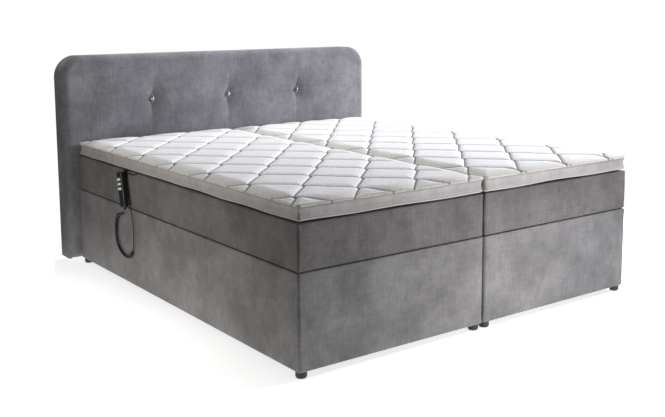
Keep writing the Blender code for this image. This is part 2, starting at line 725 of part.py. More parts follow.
def bends():
    """Where the mattress bends, as s values from foot to head.

    Each axis is placed so that at the section's full lift the slab lies on its frame again."""
    thigh_rise = THIGH_BEND_Z - HINGE_Z
    thigh = THIGH_HINGE_S + thigh_rise * math.tan(THIGH_ANGLE / 2)
    slide = 2 * thigh_rise * math.tan(THIGH_ANGLE / 2)
    knee_turn = KNEE_RATIO * THIGH_ANGLE
    knee_rise = KNEE_BEND_Z - HINGE_Z
    knee = KNEE_S - knee_rise * math.tan(knee_turn / 2) + slide
    back_rise = BACK_BEND_Z - HINGE_Z
    span_rise = BACK_BEND_SPAN * math.sin(BACK_ANGLE / 2)
    before = (span_rise + back_rise * (1 - math.cos(BACK_ANGLE))) / math.sin(BACK_ANGLE)
    return knee, thigh, BACK_HINGE_S - before, BACK_HINGE_S - before + BACK_BEND_SPAN


def slab_spans():
    """The five lengths that the mattress and the topper are each made of: (name, from, to)."""
    knee, thigh, lumbar, back = bends()
    edges = [MATTRESS_FOOT_S, knee, thigh, lumbar, back, MATTRESS_HEAD_S]
    names = ("calf", "thigh", "seat", "lumbar", "back")
    spans = []
    for i, name in enumerate(names):
        start = edges[i] + (SLAB_GAP / 2 if i else 0)
        end = edges[i + 1] - (SLAB_GAP / 2 if i < len(names) - 1 else 0)
        spans.append((name, start, end))
    return spans


def build_slabs(side, sign, velour, ticking):
    """The mattress and the topper of one side, as five slabs each, which the bends part."""
    for layer, low_z, high_z, clear, finish_material in (
        ("mattress", MATTRESS_BOTTOM, MATTRESS_TOP, MATTRESS_CLEAR, velour),
        ("topper", TOPPER_BOTTOM, TOPPER_TOP, TOPPER_CLEAR, ticking),
    ):
        inner, outer = sorted((sign * clear, sign * (SIDE_WIDTH - clear + 0.002)))
        for name, start, end in slab_spans():
            low, high = (inner, y_of(start), low_z), (outer, y_of(end), high_z)
            slab = block(f"{layer}_{name}_{side}", low, high)
            if layer == "mattress" and start < CABLE_EXIT_S < end and sign < 0:
                low = (inner - 0.01, y_of(CABLE_EXIT_S) - NOTCH_WIDTH / 2, MATTRESS_TOP - NOTCH_HEIGHT)
                high = (inner + NOTCH_DEPTH, y_of(CABLE_EXIT_S) + NOTCH_WIDTH / 2, MATTRESS_TOP + 0.01)
                cut(slab, [block("cable_notch", low, high, collection=cutters)])
            finish(slab, finish_material)


# Handset and cord -----------------------------------------------------------------

MATTRESS_SIDE_X = -(SIDE_WIDTH - MATTRESS_CLEAR + 0.002)
HANDSET_IN_X = MATTRESS_SIDE_X - HANDSET_BACK
HANDSET_OUT_X = HANDSET_IN_X - HANDSET_THICKNESS


def handset_place():
    """Turns a shape made with the peg at the origin and the handset hanging along -Z."""
    return Matrix.Translation((0, y_of(PEG_S), PEG_Z)) @ Matrix.Rotation(-HANDSET_TILT, 4, "X")


def build_handset(plastic, key_material):
    """A rounded case with a peg hole, three oval key pockets and a tapered gland for the cord."""
    half = HANDSET_WIDTH / 2
    top = PEG_BELOW_TOP
    case = block("handset", (HANDSET_OUT_X, -half, top - HANDSET_LENGTH), (HANDSET_IN_X, half, top), 0.007, 3)
    middle_x = (HANDSET_IN_X + HANDSET_OUT_X) / 2
    bottom = top - HANDSET_LENGTH
    ends = [(middle_x, 0, bottom + 0.006), (middle_x, 0, bottom - GLAND_LENGTH)]
    gland = rod("gland", *ends, GLAND_RADIUS, 16)
    join(case, [gland])
    ends = [(HANDSET_OUT_X - HOLE_PAST, 0, 0), (HANDSET_IN_X + HOLE_PAST, 0, 0)]
    holes = [rod("peg_hole", *ends, PEG_RADIUS + HINGE_RUN, 20, cutters)]
    key_z = [top - KEY_FIRST - KEY_PITCH * i for i in range(3)]
    for z in key_z:
        ends = (HANDSET_OUT_X - 0.01, HANDSET_OUT_X + KEY_DEPTH)
        holes.append(oval("pocket", z, ends[0], ends[1], KEY_CLEAR, cutters))
    cut(case, holes)
    case.data.transform(handset_place())
    put_origin(finish(case, plastic), (middle_x, y_of(PEG_S), PEG_Z))
    for number, z in enumerate(key_z, 1):
        face = HANDSET_OUT_X - KEY_PROUD
        key = oval(f"handset_key_{number}", z, face, HANDSET_OUT_X + KEY_DEPTH - 0.0015, 0.0)
        key.data.transform(handset_place())
        finish(key, key_material)


def oval(name, z, x0, x1, grow, collection=None):
    """A flat-sided oval bar along X: two round ends with a straight between, centred at height z."""
    shape = bmesh.new()
    radius = KEY_HEIGHT / 2 + grow
    straight = (KEY_WIDTH - KEY_HEIGHT) / 2
    corners = []
    for i in range(2):
        for j in range(9):
            turn = math.pi * (i + j / 8) - math.pi / 2
            y = (straight if i == 0 else -straight) + radius * math.cos(turn)
            corners.append(shape.verts.new((x0, y, z + radius * math.sin(turn))))
    face = shape.faces.new(corners)
    raised = bmesh.ops.extrude_face_region(shape, geom=[face])["geom"]
    moved = [v for v in raised if isinstance(v, bmesh.types.BMVert)]
    bmesh.ops.translate(shape, vec=(x1 - x0, 0, 0), verts=moved)
    return object_from(shape, name, collection)


def build_holder(plastic):
    """The handset's hook: a strap from the mattress edge with a tongue, a peg and the peg's cap."""
    y = y_of(PEG_S)
    strap_in = MATTRESS_SIDE_X - 0.0006
    strap_out = strap_in - STRAP_THICKNESS
    tongue_low = MATTRESS_TOP + 0.0006
    tongue_high = TOPPER_BOTTOM - 0.0006
    low = (strap_out, y - STRAP_WIDTH / 2, PEG_Z - STRAP_DROP / 2)
    high = (strap_in, y + STRAP_WIDTH / 2, tongue_high)
    strap = block("handset_holder", low, high)
    low = (strap_in - 0.001, y - STRAP_WIDTH / 2 + 0.002, tongue_low)
    high = (strap_in + 0.035, y + STRAP_WIDTH / 2 - 0.002, tongue_high - 0.0001)
    tongue = block("tongue", low, high)
    cap_in = HANDSET_OUT_X - 0.0008
    peg = rod("peg", (strap_out + 0.001, y, PEG_Z), (cap_in - 0.001, y, PEG_Z), PEG_RADIUS, 20)
    cap = rod("cap", (cap_in, y, PEG_Z), (cap_in - PEG_CAP, y, PEG_Z), PEG_CAP_RADIUS, 24)
    finish(join(strap, [tongue, peg, cap]), plastic)


def smooth_route(points, spacing):
    """Points a set distance apart on the Catmull-Rom curve through the route's own points."""
    points = [Vector(p) for p in points]
    padded = [2 * points[0] - points[1], *points, 2 * points[-1] - points[-2]]
    fine = []
    for a, b, c, d in zip(padded, padded[1:], padded[2:], padded[3:]):
        for i in range(24):
            t = i / 24
            turn = (2 * a - 5 * b + 4 * c - d) * t**2 + (3 * b - a - 3 * c + d) * t**3
            fine.append(b + 0.5 * ((c - a) * t + turn))
    fine.append(points[-1])
    along = [0.0]
    for first, second in zip(fine, fine[1:]):
        along.append(along[-1] + (second - first).length)
    count = max(2, round(along[-1] / spacing) + 1)
    made, place = [], 0
    for i in range(count):
        wanted = along[-1] * i / (count - 1)
        while place < len(fine) - 2 and along[place + 1] < wanted:
            place += 1
        share = (wanted - along[place]) / max(along[place + 1] - along[place], 1e-9)
        made.append(fine[place].lerp(fine[place + 1], min(max(share, 0.0), 1.0)))
    return made


def tube(name, points, radius, spacing, sides, finish_material):
    """A round tube along a smooth route, with filled ends."""
    curve = bpy.data.curves.new(name, "CURVE")
    curve.dimensions = "3D"
    curve.bevel_depth = radius
    curve.bevel_resolution = sides
    curve.use_fill_caps = True
    spline = curve.splines.new("POLY")
    route = smooth_route(points, spacing)
    spline.points.add(len(route) - 1)
    for point, place in zip(spline.points, route):
        point.co = (*place, 1)
    made = bpy.data.objects.new(name, curve)
    curve.materials.append(finish_material)
    parts.objects.link(made)
    return made


# The cord's own points, chosen by hand: (x, s, z).
CURL_ROUTE = [
    (-0.9240, 1.3880, 0.3700),
    (-0.9240, 1.4050, 0.3560),
    (-0.9190, 1.4480, 0.3510),
    (-0.9135, 1.4900, 0.3330),
    (-0.9110, 1.5150, 0.2900),
    (-0.9105, 1.5190, 0.2400),
    (-0.9105, 1.5000, 0.1920),
    (-0.9105, 1.4600, 0.1640),
    (-0.9105, 1.4100, 0.1530),
    (-0.9105, 1.3640, 0.1640),
    (-0.9110, 1.3360, 0.1960),
]
RETURN_ROUTE = [
    (-0.9110, 1.3335, 0.2003),
    (-0.9108, 1.3270, 0.2160),
    (-0.9100, 1.3240, 0.2500),
    (-0.9095, 1.3270, 0.3000),
    (-0.9080, 1.3400, 0.3500),
    (-0.9065, 1.3620, 0.4050),
    (-0.9065, 1.3780, 0.4550),
    (-0.9065, 1.3900, 0.5000),
    (-0.9065, 1.3960, 0.5300),
]
UPPER_ROUTE = [
    (-0.9065, 1.3930, 0.5390),
    (-0.9065, 1.3780, 0.5480),
    (-0.9065, 1.3550, 0.5495),
    (-0.9060, 1.3300, 0.5475),
    (-0.9040, 1.3140, 0.5500),
    (-0.8980, 1.3080, 0.5545),
    (-0.8880, 1.3065, 0.5555),
    (-0.8780, 1.3065, 0.5555),
]


def build_cord(rubber):
    for name, route, radius, spacing, sides in (
        ("handset_cord_curl", CURL_ROUTE, CURL_RADIUS, 0.014, 2),
        ("handset_cord_return", RETURN_ROUTE, LEAD_RADIUS, 0.010, 2),
        ("handset_cord_upper", UPPER_ROUTE, LEAD_RADIUS, 0.006, 2),
    ):
        tube(name, [(x, y_of(s), z) for x, s, z in route], radius, spacing, sides, rubber)


def main():
    global parts, cutters
    clear_scene()
    parts = new_collection("box_spring_bed")
    cutters = new_collection("cutters")
    cutters.hide_render = True
    velour = material("grey_velour", (0.235, 0.23, 0.235), 0.85)
    ticking = material("white_ticking", (0.86, 0.86, 0.87), 0.8)
    wood = material("beech", (0.72, 0.52, 0.33), 0.5)
    steel = material("dark_steel", (0.12, 0.12, 0.125), 0.45, 0.9)
    plastic = material("black_plastic", (0.02, 0.02, 0.022), 0.4)
    rubber = material("black_rubber", (0.025, 0.025, 0.027), 0.6)
    key_material = material("light_keys", (0.72, 0.78, 0.7), 0.45)
    button = material("glass_button", (0.75, 0.75, 0.78), 0.1, 0.9)
    build_headboard(velour, button)
    for side, sign in (("left", -1), ("right", 1)):
        middle = sign * (SIDE_X + BOX_CLEAR / 2)
        build_base_box(side, middle, velour)
        build_glides(side, middle, plastic)
        build_fixed_frame(side, middle, wood)
        build_back_frame(side, middle, wood)
        build_thigh_frame(side, middle, wood)
        build_calf_frame(side, middle, wood)
        build_shaft(f"back_lift_shaft_{side}", middle, BACK_SHAFT_S, 1, ARM_REACH, steel)
        build_shaft(f"leg_lift_shaft_{side}", middle, LEG_SHAFT_S, -1, LEG_ARM_REACH, steel)
        build_drive(side, middle, plastic, steel)
        build_slabs(side, sign, velour, ticking)
    build_handset(plastic, key_material)
    build_holder(plastic)
    build_cord(rubber)


main()
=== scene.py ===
"""Looks of the motorised box-spring bed: upholstery, quilted toppers, finishes, light and camera.

Metres, +Z up, floor at z = 0. The foot end faces -Y and the headboard stands at +Y.
A distance called s is measured along the bed from its foot face towards the head.
"""

import json
import math

import bmesh
import bpy
import numpy as np
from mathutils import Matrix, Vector


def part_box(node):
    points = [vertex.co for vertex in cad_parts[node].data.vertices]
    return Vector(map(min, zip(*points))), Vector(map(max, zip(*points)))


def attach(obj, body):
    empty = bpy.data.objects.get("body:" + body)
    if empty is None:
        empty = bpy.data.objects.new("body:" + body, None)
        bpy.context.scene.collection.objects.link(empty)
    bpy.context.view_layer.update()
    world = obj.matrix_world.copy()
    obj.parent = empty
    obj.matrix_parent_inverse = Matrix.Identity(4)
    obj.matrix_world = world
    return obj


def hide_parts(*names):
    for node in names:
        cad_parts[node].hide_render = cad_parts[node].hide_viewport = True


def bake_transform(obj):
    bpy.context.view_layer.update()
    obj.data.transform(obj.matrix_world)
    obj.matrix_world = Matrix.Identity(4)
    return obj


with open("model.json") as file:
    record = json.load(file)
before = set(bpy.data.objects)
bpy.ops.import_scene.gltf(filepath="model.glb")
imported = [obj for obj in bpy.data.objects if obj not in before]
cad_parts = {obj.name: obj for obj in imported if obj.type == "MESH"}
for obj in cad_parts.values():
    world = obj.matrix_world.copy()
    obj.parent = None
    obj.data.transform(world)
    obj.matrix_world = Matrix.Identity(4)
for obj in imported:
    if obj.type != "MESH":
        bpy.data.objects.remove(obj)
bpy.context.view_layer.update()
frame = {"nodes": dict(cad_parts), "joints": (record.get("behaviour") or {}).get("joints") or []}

SIDES = ("left", "right")
SLABS = ("calf", "thigh", "seat", "lumbar", "back")
JOINT_Y = {j["name"]: j["pos_m"][1] for j in frame["joints"] if "pos_m" in j}
FOOT_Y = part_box("base_box_left")[0].y
CLOTH = "rest_place"  # attribute that keeps each point's place on the flat bed

# Camera, light and floor.
EYE_PLACE = (-2.663, -3.6825, 1.281)
EYE_TURN = (82.09, 0.32, -36.22)  # in degrees
LENS = 51.13
LENS_SHIFT = -0.1
AMBIENT = 0.12
SURROUND_GLOW = 1.05
FLOOR_GLOW = 0.72
FLOOR_MIDDLE = (0.6, -0.2, 0)
FLOOR_REACH = (1.85, 2.5)  # half axes of the oval floor
LIGHTS = {  # place, target, size, power and colour
    "overhead": ((0.0, 1.2, 3.2), (0.0, 0.1, 0.6), 1.6, 52, (1.0, 1.0, 1.0)),
    "key": ((2.8, -1.6, 1.9), (0.2, 0.2, 0.6), 0.9, 82, (0.95, 0.96, 1.03)),
    "graze": ((4.0, -0.1, 1.7), (0.0, 0.6, 0.8), 0.7, 150, (0.95, 0.96, 1.03)),
    "front": ((0.15, -1.95, 0.22), (0.15, 0, 0.25), 0.5, 7, (1.0, 0.98, 1.0)),
    "side": ((-2.2, -0.2, 0.35), (-0.9, -0.05, 0.2), 0.7, 9, (1.04, 1.0, 0.96)),
}

# Random fields that a surface adds up: height, length, seed and, where it isn't 7, the count of waves.
BOX_FIELDS = ((0.0011, 0.30, 11), (0.0005, 0.09, 12))
MATTRESS_FIELDS = {side: ((0.0010, 0.22, 21 + len(side)), (0.0006, 0.07, 22)) for side in SIDES}
BORDER_FIELDS = ((0.0011, 0.16, 31),)
PANEL_FIELDS = ((0.0012, 0.35, 33),)
SAG_FIELDS = ((0.0030, 0.30, 35),)
GATHER_UP_FIELDS = ((0.0016, 0.045, 36, 11),)
GATHER_OUT_FIELDS = ((0.0012, 0.035, 37, 11),)
HEADBOARD_FIELDS = ((0.0022, 0.45, 41), (0.0010, 0.16, 42))

EDGE_STEP = 0.003  # grid step within a soft edge

# Base boxes.
BOX_TONE = (0.200, 0.196, 0.196)
BOX_CORNER = 0.012
BOX_WALL = 0.024
FOOT_ROUND = 0.006
RIM_ROUND = 0.004
INNER_CORNER = 0.004
CORNER_STEPS = 9
SEAM_SHARE = 0.3  # share of half a corner that its sewn groove takes
BOX_STEPS = (64, 30)  # points along a long and a short side
COVER_DEPTH = 0.0014  # the cover's mean depth under the swelling's own zero
FADE_SHARE = 0.08  # share of the height over which the swelling fades at foot and rim
LEDGE_REACH = 0.043  # from the outer face to the ledge's inner edge
LEDGE_DROP = 0.0478  # from the box's top to its ledge
BOARD = 0.012  # thickness of the floor board

# Mattress.
MATTRESS_TONE = (0.150, 0.144, 0.141)  # the same velour as on the boxes, made darker
MATTRESS_ROUND = 0.007
MATTRESS_TUCK = 0.0016  # how far the cover draws in towards its upper and lower edge
SEAM_GROOVE = 0.0022  # depth of the sewn corner seam
SEAM_HALF_WIDTH = 0.004
RIM_DROP = 0.0014  # how far the cover's lower edge hangs below its underside
LIFTS = ((0.775, 0.905), (1.300, 1.450))  # from and to, in s, where the underside arches up
LIFT_HEIGHT = 0.0085
BACK_WINDOW = 0.092
CABLE_S = 1.3065
CABLE_DEPTH = 0.0085
CABLE_HALF_WIDTH = 0.0055
CREASE_S = 1.356
CREASE_DEPTH = 0.0018
CREASE_REACH = 0.006
PIT_SHADE = "pit_shade"  # attribute of painted shade, 1 where the cover is drawn into a small pit
TACKS = ((1.197, 0.400), (0.972, 0.400))  # s and z of two tacks on the left face
SLOTS = ((1.3395, 0.521), (1.3500, 0.483))  # s and z of two small slots beside the handset
PIT_SHADE_DEPTH = 0.005  # depth at which a pit gets its full painted shade
PITS = (  # places, depth, width, height and grid step
    (TACKS, 0.004, 0.008, 0.008, 0.004),
    (SLOTS, 0.006, 0.0028, 0.0075, 0.0022),
)

# Topper.
PANEL_TONE = (0.855, 0.855, 0.865)
PANEL_RIM_TONE = (0.77, 0.76, 0.715)
RIB_TONE = (0.55, 0.55, 0.56)
# Painted shade in the quilt's grooves beside each stitch line.
GROOVE_SHADE_TONE = (0.30, 0.30, 0.31)
# Stitch thread, painted dark with the shade at the bottom of each groove.
THREAD_AND_SHADE_TONE = (0.17, 0.168, 0.17)
# Darker where two stitch lines run together.
MEETING_DARK_TONE = (0.10, 0.10, 0.10)
BORDER_TONE = (0.47, 0.45, 0.44)
# Painted light: the rolled lower edge of the border is lighter, as where it bulges out into the light.
ROLL_LIT_TONE = (0.51, 0.495, 0.485)
SHADED_TONE = (0.30, 0.28, 0.27)  # under the overhang of the top panel
TOPPER_ROUND = (0.016, 0.016, 0.009)
BORDER_HEIGHT = 0.054  # from the topper's underside to the seam of its top panel
ROLL_HEIGHT = 0.013  # rolled lower edge of the border
STITCH_SPACING = 0.28  # between two stitch lines of one family
STITCH_SWING = 0.07
STITCH_CREST = 1.12  # over 1, so that neighbouring lines run together for a short way
QUILT_DEPTH = 0.0125
QUILT_FALL = 0.0075  # how fast the padding rises beside a stitch
QUILT_PERIOD = {"left": 0.31, "right": 0.33}
QUILT_START = {"left": (-0.6325, 0.10), "right": (0.150, 0.025)}  # x of a line, s of its crest
QUILT_WIDTH = 0.075  # from a stitch, or the outline, to the full height of the padding
EDGE_FALL = 0.0110  # how much lower the top panel lies at its outline
EDGE_NIP = 0.0030  # and the last of it, where the seam nips it
PANEL_RISE = 0.001  # of the padding's highest point above the plain slab
SHOULDER_DROP = 0.012  # from the plain slab's rounded edge to the border's seam
BORDER_SINK = 0.0012
SAG_RISE = 0.0004
ROLL_OUT = 0.0022
HOLLOW_IN = 0.0052
LIP_OUT = 0.0030
TOP_SEAM_IN = 0.0040
ROLL_SEAM_IN = 0.0026
SEAM_WIDTH = 0.0022
SEAM_ABOVE = 0.002  # from the border's height to the middle of the gathered seam
SEAM_REACH = 0.012
FROM_EDGE = "from_edge"  # attribute that keeps each point's distance from a topper's outline

# Headboard.
HEADBOARD_TONE = (0.208, 0.205, 0.221)
BOARD_CORNER = 0.112
BOARD_EDGE = 0.036
BOARD_BACK_EDGE = 0.010
BOARD_SINK = 0.0015  # the front's mean depth under the swelling's own zero
TUFT_X = 0.466
TUFT_Z = 0.822
TUFT_HOLLOW = (0.0200, 0.048)  # depth, and the reach over which it fades
TUFT_FOLD = 0.0170
TUFT_FLOOR = 0.0148
BUTTON_RADIUS = 0.012
STONE_SHARE = 0.86
STONE_SINK = 0.005  # from the front of a button's seat to its stone
STONE_FLATS = 12
STONE_PROFILE = (  # share of the radius, share of the depth from the front
    (0.0, 1.0),
    (0.9, 1.0),
    (1.0, 0.82),
    (1.0, 0.42),
    (0.86, 0.40),
    (0.80, 0.30),
    (0.62, 0.12),
    (0.34, 0.0),
    (0.0, 0.0),
)

# Handset cord.
CORD_DIAMETER = 0.0046
CURL_OUTER = 0.0068
CURL_PITCH = 0.0056
CURL_START = 0.030  # length of the thin lead before the first turn
CURL_OPENING = 0.030  # length over which the turns open out
# The cord's own points: (x, s, z).
CURL_ROUTE = [
    (-0.9240, 1.3880, 0.3700),
    (-0.9240, 1.4050, 0.3560),
    (-0.9190, 1.4480, 0.3510),
    (-0.9135, 1.4900, 0.3330),
    (-0.9110, 1.5150, 0.2900),
    (-0.9105, 1.5190, 0.2400),
    (-0.9105, 1.5000, 0.1920),
    (-0.9105, 1.4600, 0.1640),
    (-0.9105, 1.4100, 0.1530),
    (-0.9105, 1.3640, 0.1640),
    (-0.9110, 1.3360, 0.1960),
]
RETURN_ROUTE = [
    (-0.9110, 1.3335, 0.2003),
    (-0.9108, 1.3270, 0.2160),
    (-0.9100, 1.3240, 0.2500),
    (-0.9095, 1.3270, 0.3000),
    (-0.9080, 1.3400, 0.3500),
    (-0.9065, 1.3620, 0.4050),
    (-0.9065, 1.3780, 0.4550),
    (-0.9065, 1.3900, 0.5000),
    (-0.9065, 1.3960, 0.5300),
]
UPPER_ROUTE = [
    (-0.9065, 1.3930, 0.5390),
    (-0.9065, 1.3780, 0.5480),
    (-0.9065, 1.3550, 0.5495),
    (-0.9060, 1.3300, 0.5475),
    (-0.9040, 1.3140, 0.5500),
    (-0.8980, 1.3080, 0.5545),
    (-0.8880, 1.3065, 0.5555),
    (-0.8780, 1.3065, 0.5555),
]


def y_of(s):
    """World Y of a place s metres from the foot face."""
    return FOOT_Y + s


def smoothstep(value):
    """The smooth ramp 3t^2 - 2t^3 of a value clipped to 0 and 1."""
    t = np.clip(value, 0, 1)
    return t * t * (3 - 2 * t)


# Camera, floor and light


def make_camera():
    """A camera at standing height off the foot corner, which looks slightly down."""
    camera = bpy.data.cameras.new("camera")
    camera.lens = LENS
    camera.sensor_width = 36
    camera.shift_y = LENS_SHIFT
    camera.clip_end = 100
    eye = bpy.data.objects.new("camera", camera)
    eye.location = EYE_PLACE
    eye.rotation_euler = [math.radians(angle) for angle in EYE_TURN]
    bpy.context.scene.collection.objects.link(eye)
    bpy.context.scene.camera = eye


def area_light(name, place, target, size, power, colour):
    """A square soft light that faces its target and isn't seen by the camera."""
    lamp = bpy.data.lights.new(name, "AREA")
    lamp.size = size
    lamp.energy = power
    lamp.color = colour
    made = bpy.data.objects.new(name, lamp)
    made.location = place
    towards = Vector(target) - made.location
    made.rotation_euler = towards.to_track_quat("-Z", "Y").to_euler()
    made.visible_camera = False
    bpy.context.scene.collection.objects.link(made)


def make_stage():
    """A white oval floor, a white surround that only the camera sees, and five soft lights."""
    scene = bpy.context.scene
    scene.view_settings.view_transform = "Standard"
    scene.view_settings.look = "None"
    world = bpy.data.worlds.new("studio")
    scene.world = world
    world.use_nodes = True
    nodes, links = world.node_tree.nodes, world.node_tree.links
    soft = nodes["Background"]
    soft.inputs["Color"].default_value = (1.0, 0.96, 0.92, 1)
    soft.inputs["Strength"].default_value = AMBIENT
    seen = nodes.new("ShaderNodeBackground")
    seen.inputs["Strength"].default_value = SURROUND_GLOW
    seen.inputs["Color"].default_value = (1, 1, 1, 1)
    ray = nodes.new("ShaderNodeLightPath")
    mix = nodes.new("ShaderNodeMixShader")
    links.new(ray.outputs["Is Camera Ray"], mix.inputs[0])
    links.new(soft.outputs[0], mix.inputs[1])
    links.new(seen.outputs[0], mix.inputs[2])
    links.new(mix.outputs[0], nodes["World Output"].inputs["Surface"])

    mesh = bpy.data.meshes.new("studio_floor")
    angle = np.linspace(0, 2 * np.pi, 96, endpoint=False)
    circle = np.stack([np.cos(angle), np.sin(angle), 0 * angle], axis=1)
    rim = circle * (*FLOOR_REACH, 0) + FLOOR_MIDDLE
    mesh.from_pydata(rim.tolist(), [], [list(range(len(rim)))])
    floor = bpy.data.objects.new("studio_floor", mesh)
    scene.collection.objects.link(floor)
    white = Painter("studio_white", (0.8, 0.8, 0.8), 0.9)
    white.plain("Emission Color", (1, 1, 1, 1))
    white.plain("Emission Strength", FLOOR_GLOW)
    mesh.materials.append(white.made)

    for name, (place, target, size, power, colour) in LIGHTS.items():
        area_light(name, place, target, size, power, colour)


# Materials


class Painter:
    """A new material, with short names for its nodes.

    Its plain colour, roughness and metallic value stand on the shader's own sockets."""

    def __init__(self, name, colour, roughness, metallic=0.0):
        self.made = bpy.data.materials.new(name)
        self.made.use_nodes = True
        self.nodes = self.made.node_tree.nodes
        self.links = self.made.node_tree.links
        self.shader = self.nodes["Principled BSDF"]
        self.plain("Base Color", (*colour, 1))
        self.plain("Roughness", roughness)
        self.plain("Metallic", metallic)

    def plain(self, name, value):
        """Sets one of the shader's own sockets."""
        self.shader.inputs[name].default_value = value

    def textured(self, kind, place, **numbers):
        """A node that reads a place, with some of its sockets set."""
        node = self.nodes.new(kind)
        self.links.new(place, node.inputs["Vector"])
        for name, number in numbers.items():
            node.inputs[name].default_value = number
        return node.outputs

    def place(self, attribute=None):
        """Each point's place in the bed's frame, or on the flat bed when it is cloth."""
        if attribute:
            node = self.nodes.new("ShaderNodeAttribute")
            node.attribute_name = attribute
            return node.outputs["Vector"]
        return self.nodes.new("ShaderNodeTexCoord").outputs["Object"]

    def kept(self, attribute):
        """A number that each point keeps, such as its distance from an edge."""
        node = self.nodes.new("ShaderNodeAttribute")
        node.attribute_name = attribute
        return node.outputs["Fac"]

    def stretched(self, place, scale, turn=(0, 0, 0)):
        return self.textured("ShaderNodeMapping", place, Scale=scale, Rotation=turn)["Vector"]

    def noise(self, place, scale, detail=3.0, rough=0.55):
        return self.textured("ShaderNodeTexNoise", place, Scale=scale, Detail=detail, Roughness=rough)["Fac"]

    def voronoi(self, place, scale):
        return self.textured("ShaderNodeTexVoronoi", place, Scale=scale)["Distance"]

    def bands(self, place, scale, distortion):
        numbers = {"Scale": scale, "Distortion": distortion, "Detail": 1.0}
        return self.textured("ShaderNodeTexWave", place, **numbers)["Fac"]

    def axes(self, place):
        node = self.nodes.new("ShaderNodeSeparateXYZ")
        self.links.new(place, node.inputs[0])
        return node.outputs

    def math(self, operation, *values):
        node = self.nodes.new("ShaderNodeMath")
        node.operation = operation
        for socket, value in zip(node.inputs, values):
            self.join(value, socket)
        return node.outputs[0]

    def ramp(self, value, low, high, to_low=0.0, to_high=1.0):
        """The value's part from low to high, mapped smoothly to another range and held outside it."""
        node = self.nodes.new("ShaderNodeMapRange")
        node.interpolation_type = "SMOOTHSTEP"
        self.links.new(value, node.inputs["Value"])
        for name, number in zip(("From Min", "From Max", "To Min", "To Max"), (low, high, to_low, to_high)):
            node.inputs[name].default_value = number
        return node.outputs["Result"]

    def blend(self, share, first, second, kind="MIX"):
        """A mix of two colours, each a tuple or another node's colour."""
        node = self.nodes.new("ShaderNodeMix")
        node.data_type = "RGBA"
        node.blend_type = kind
        self.join(share, node.inputs[0])
        self.join(first, node.inputs[6])
        self.join(second, node.inputs[7])
        return node.outputs[2]

    def join(self, value, socket):
        if isinstance(value, tuple):
            socket.default_value = (*value, 1)
        elif isinstance(value, (int, float)):
            socket.default_value = value
        else:
            self.links.new(value, socket)

    def colour(self, value):
        self.links.new(value, self.shader.inputs["Base Color"])

    def roughness(self, value):
        self.links.new(value, self.shader.inputs["Roughness"])

    def bump(self, height, depth, strength=1.0, after=None):
        """A relief of that depth in metres, on top of an earlier one."""
        node = self.nodes.new("ShaderNodeBump")
        node.inputs["Distance"].default_value = depth
        node.inputs["Strength"].default_value = strength
        self.links.new(height, node.inputs["Height"])
        if after is not None:
            self.links.new(after, node.inputs["Normal"])
        self.links.new(node.outputs["Normal"], self.shader.inputs["Normal"])
        return node.outputs["Normal"]


def velour(name, tone, attribute=None):
    """Short grey pile.

    The tone is multiplied by wide clouds, small patches, faint upright and level brushed lines and a fine
    nap, and darkened by painted shade in the pits where the cover is drawn in."""
    paint = Painter(name, tone, 0.9)
    place = paint.place(attribute)
    clouds = paint.noise(place, 4.5, 4.0, 0.62)
    patches = paint.noise(place, 19, 3.0, 0.6)
    upright = paint.noise(paint.stretched(place, (1, 1, 0.14)), 120, 2.0, 0.6)
    level = paint.noise(paint.stretched(place, (0.14, 0.14, 1)), 150, 2.0, 0.6)
    nap = paint.noise(place, 260, 3.0, 0.75)
    shade = paint.ramp(clouds, 0.33, 0.67, 0.80, 1.17)
    patterns = (
        (patches, 0.3, 0.7, 0.06),
        (upright, 0.3, 0.7, 0.07),
        (level, 0.3, 0.7, 0.05),
        (nap, 0.28, 0.72, 0.16),
    )
    for pattern, low, high, reach in patterns:
        shade = paint.math("MULTIPLY", shade, paint.ramp(pattern, low, high, 1 - reach, 1 + reach))
    # Painted shade: the tone darkens to a quarter in the pits where the cover is drawn in.
    pit_shade = paint.kept(PIT_SHADE)
    shade = paint.math("MULTIPLY", shade, paint.ramp(pit_shade, 0.15, 0.9, 1.0, 0.25))
    paint.colour(paint.blend(1.0, tone, shade, "MULTIPLY"))
    first = paint.bump(nap, 0.0008, 0.5)
    second = paint.bump(patches, 0.0025, 0.3, first)
    paint.bump(clouds, 0.012, 0.3, second)
    paint.plain("Sheen Weight", 0.25)
    paint.plain("Sheen Roughness", 0.4)
    paint.plain("Sheen Tint", (0.92, 0.92, 0.96, 1))
    paint.plain("Specular IOR Level", 0.15)
    return paint.made


def stitch_distance(paint, place, side):
    """Distances in metres to the nearest stitch line and to the next, by the same formula as quilt."""
    x, y, _ = paint.axes(place)
    start_x, start_s = QUILT_START[side]
    half = QUILT_PERIOD[side] / 2
    along = paint.math("PINGPONG", paint.math("SUBTRACT", y, y_of(start_s) - 20 * half), half)
    swing = paint.math("MULTIPLY_ADD", along, -2 * STITCH_CREST / half, STITCH_CREST)
    swing = paint.math("MAXIMUM", paint.math("MINIMUM", swing, 1.0), -1.0)
    swing = paint.math("MULTIPLY", swing, STITCH_SWING)
    across = paint.math("SUBTRACT", x, start_x - 20 * STITCH_SPACING)
    even = paint.math("PINGPONG", paint.math("SUBTRACT", across, swing), STITCH_SPACING / 2)
    shifted = paint.math("ADD", paint.math("ADD", across, swing), -STITCH_SPACING / 2)
    odd = paint.math("PINGPONG", shifted, STITCH_SPACING / 2)
    return paint.math("MINIMUM", even, odd), paint.math("MAXIMUM", even, odd)


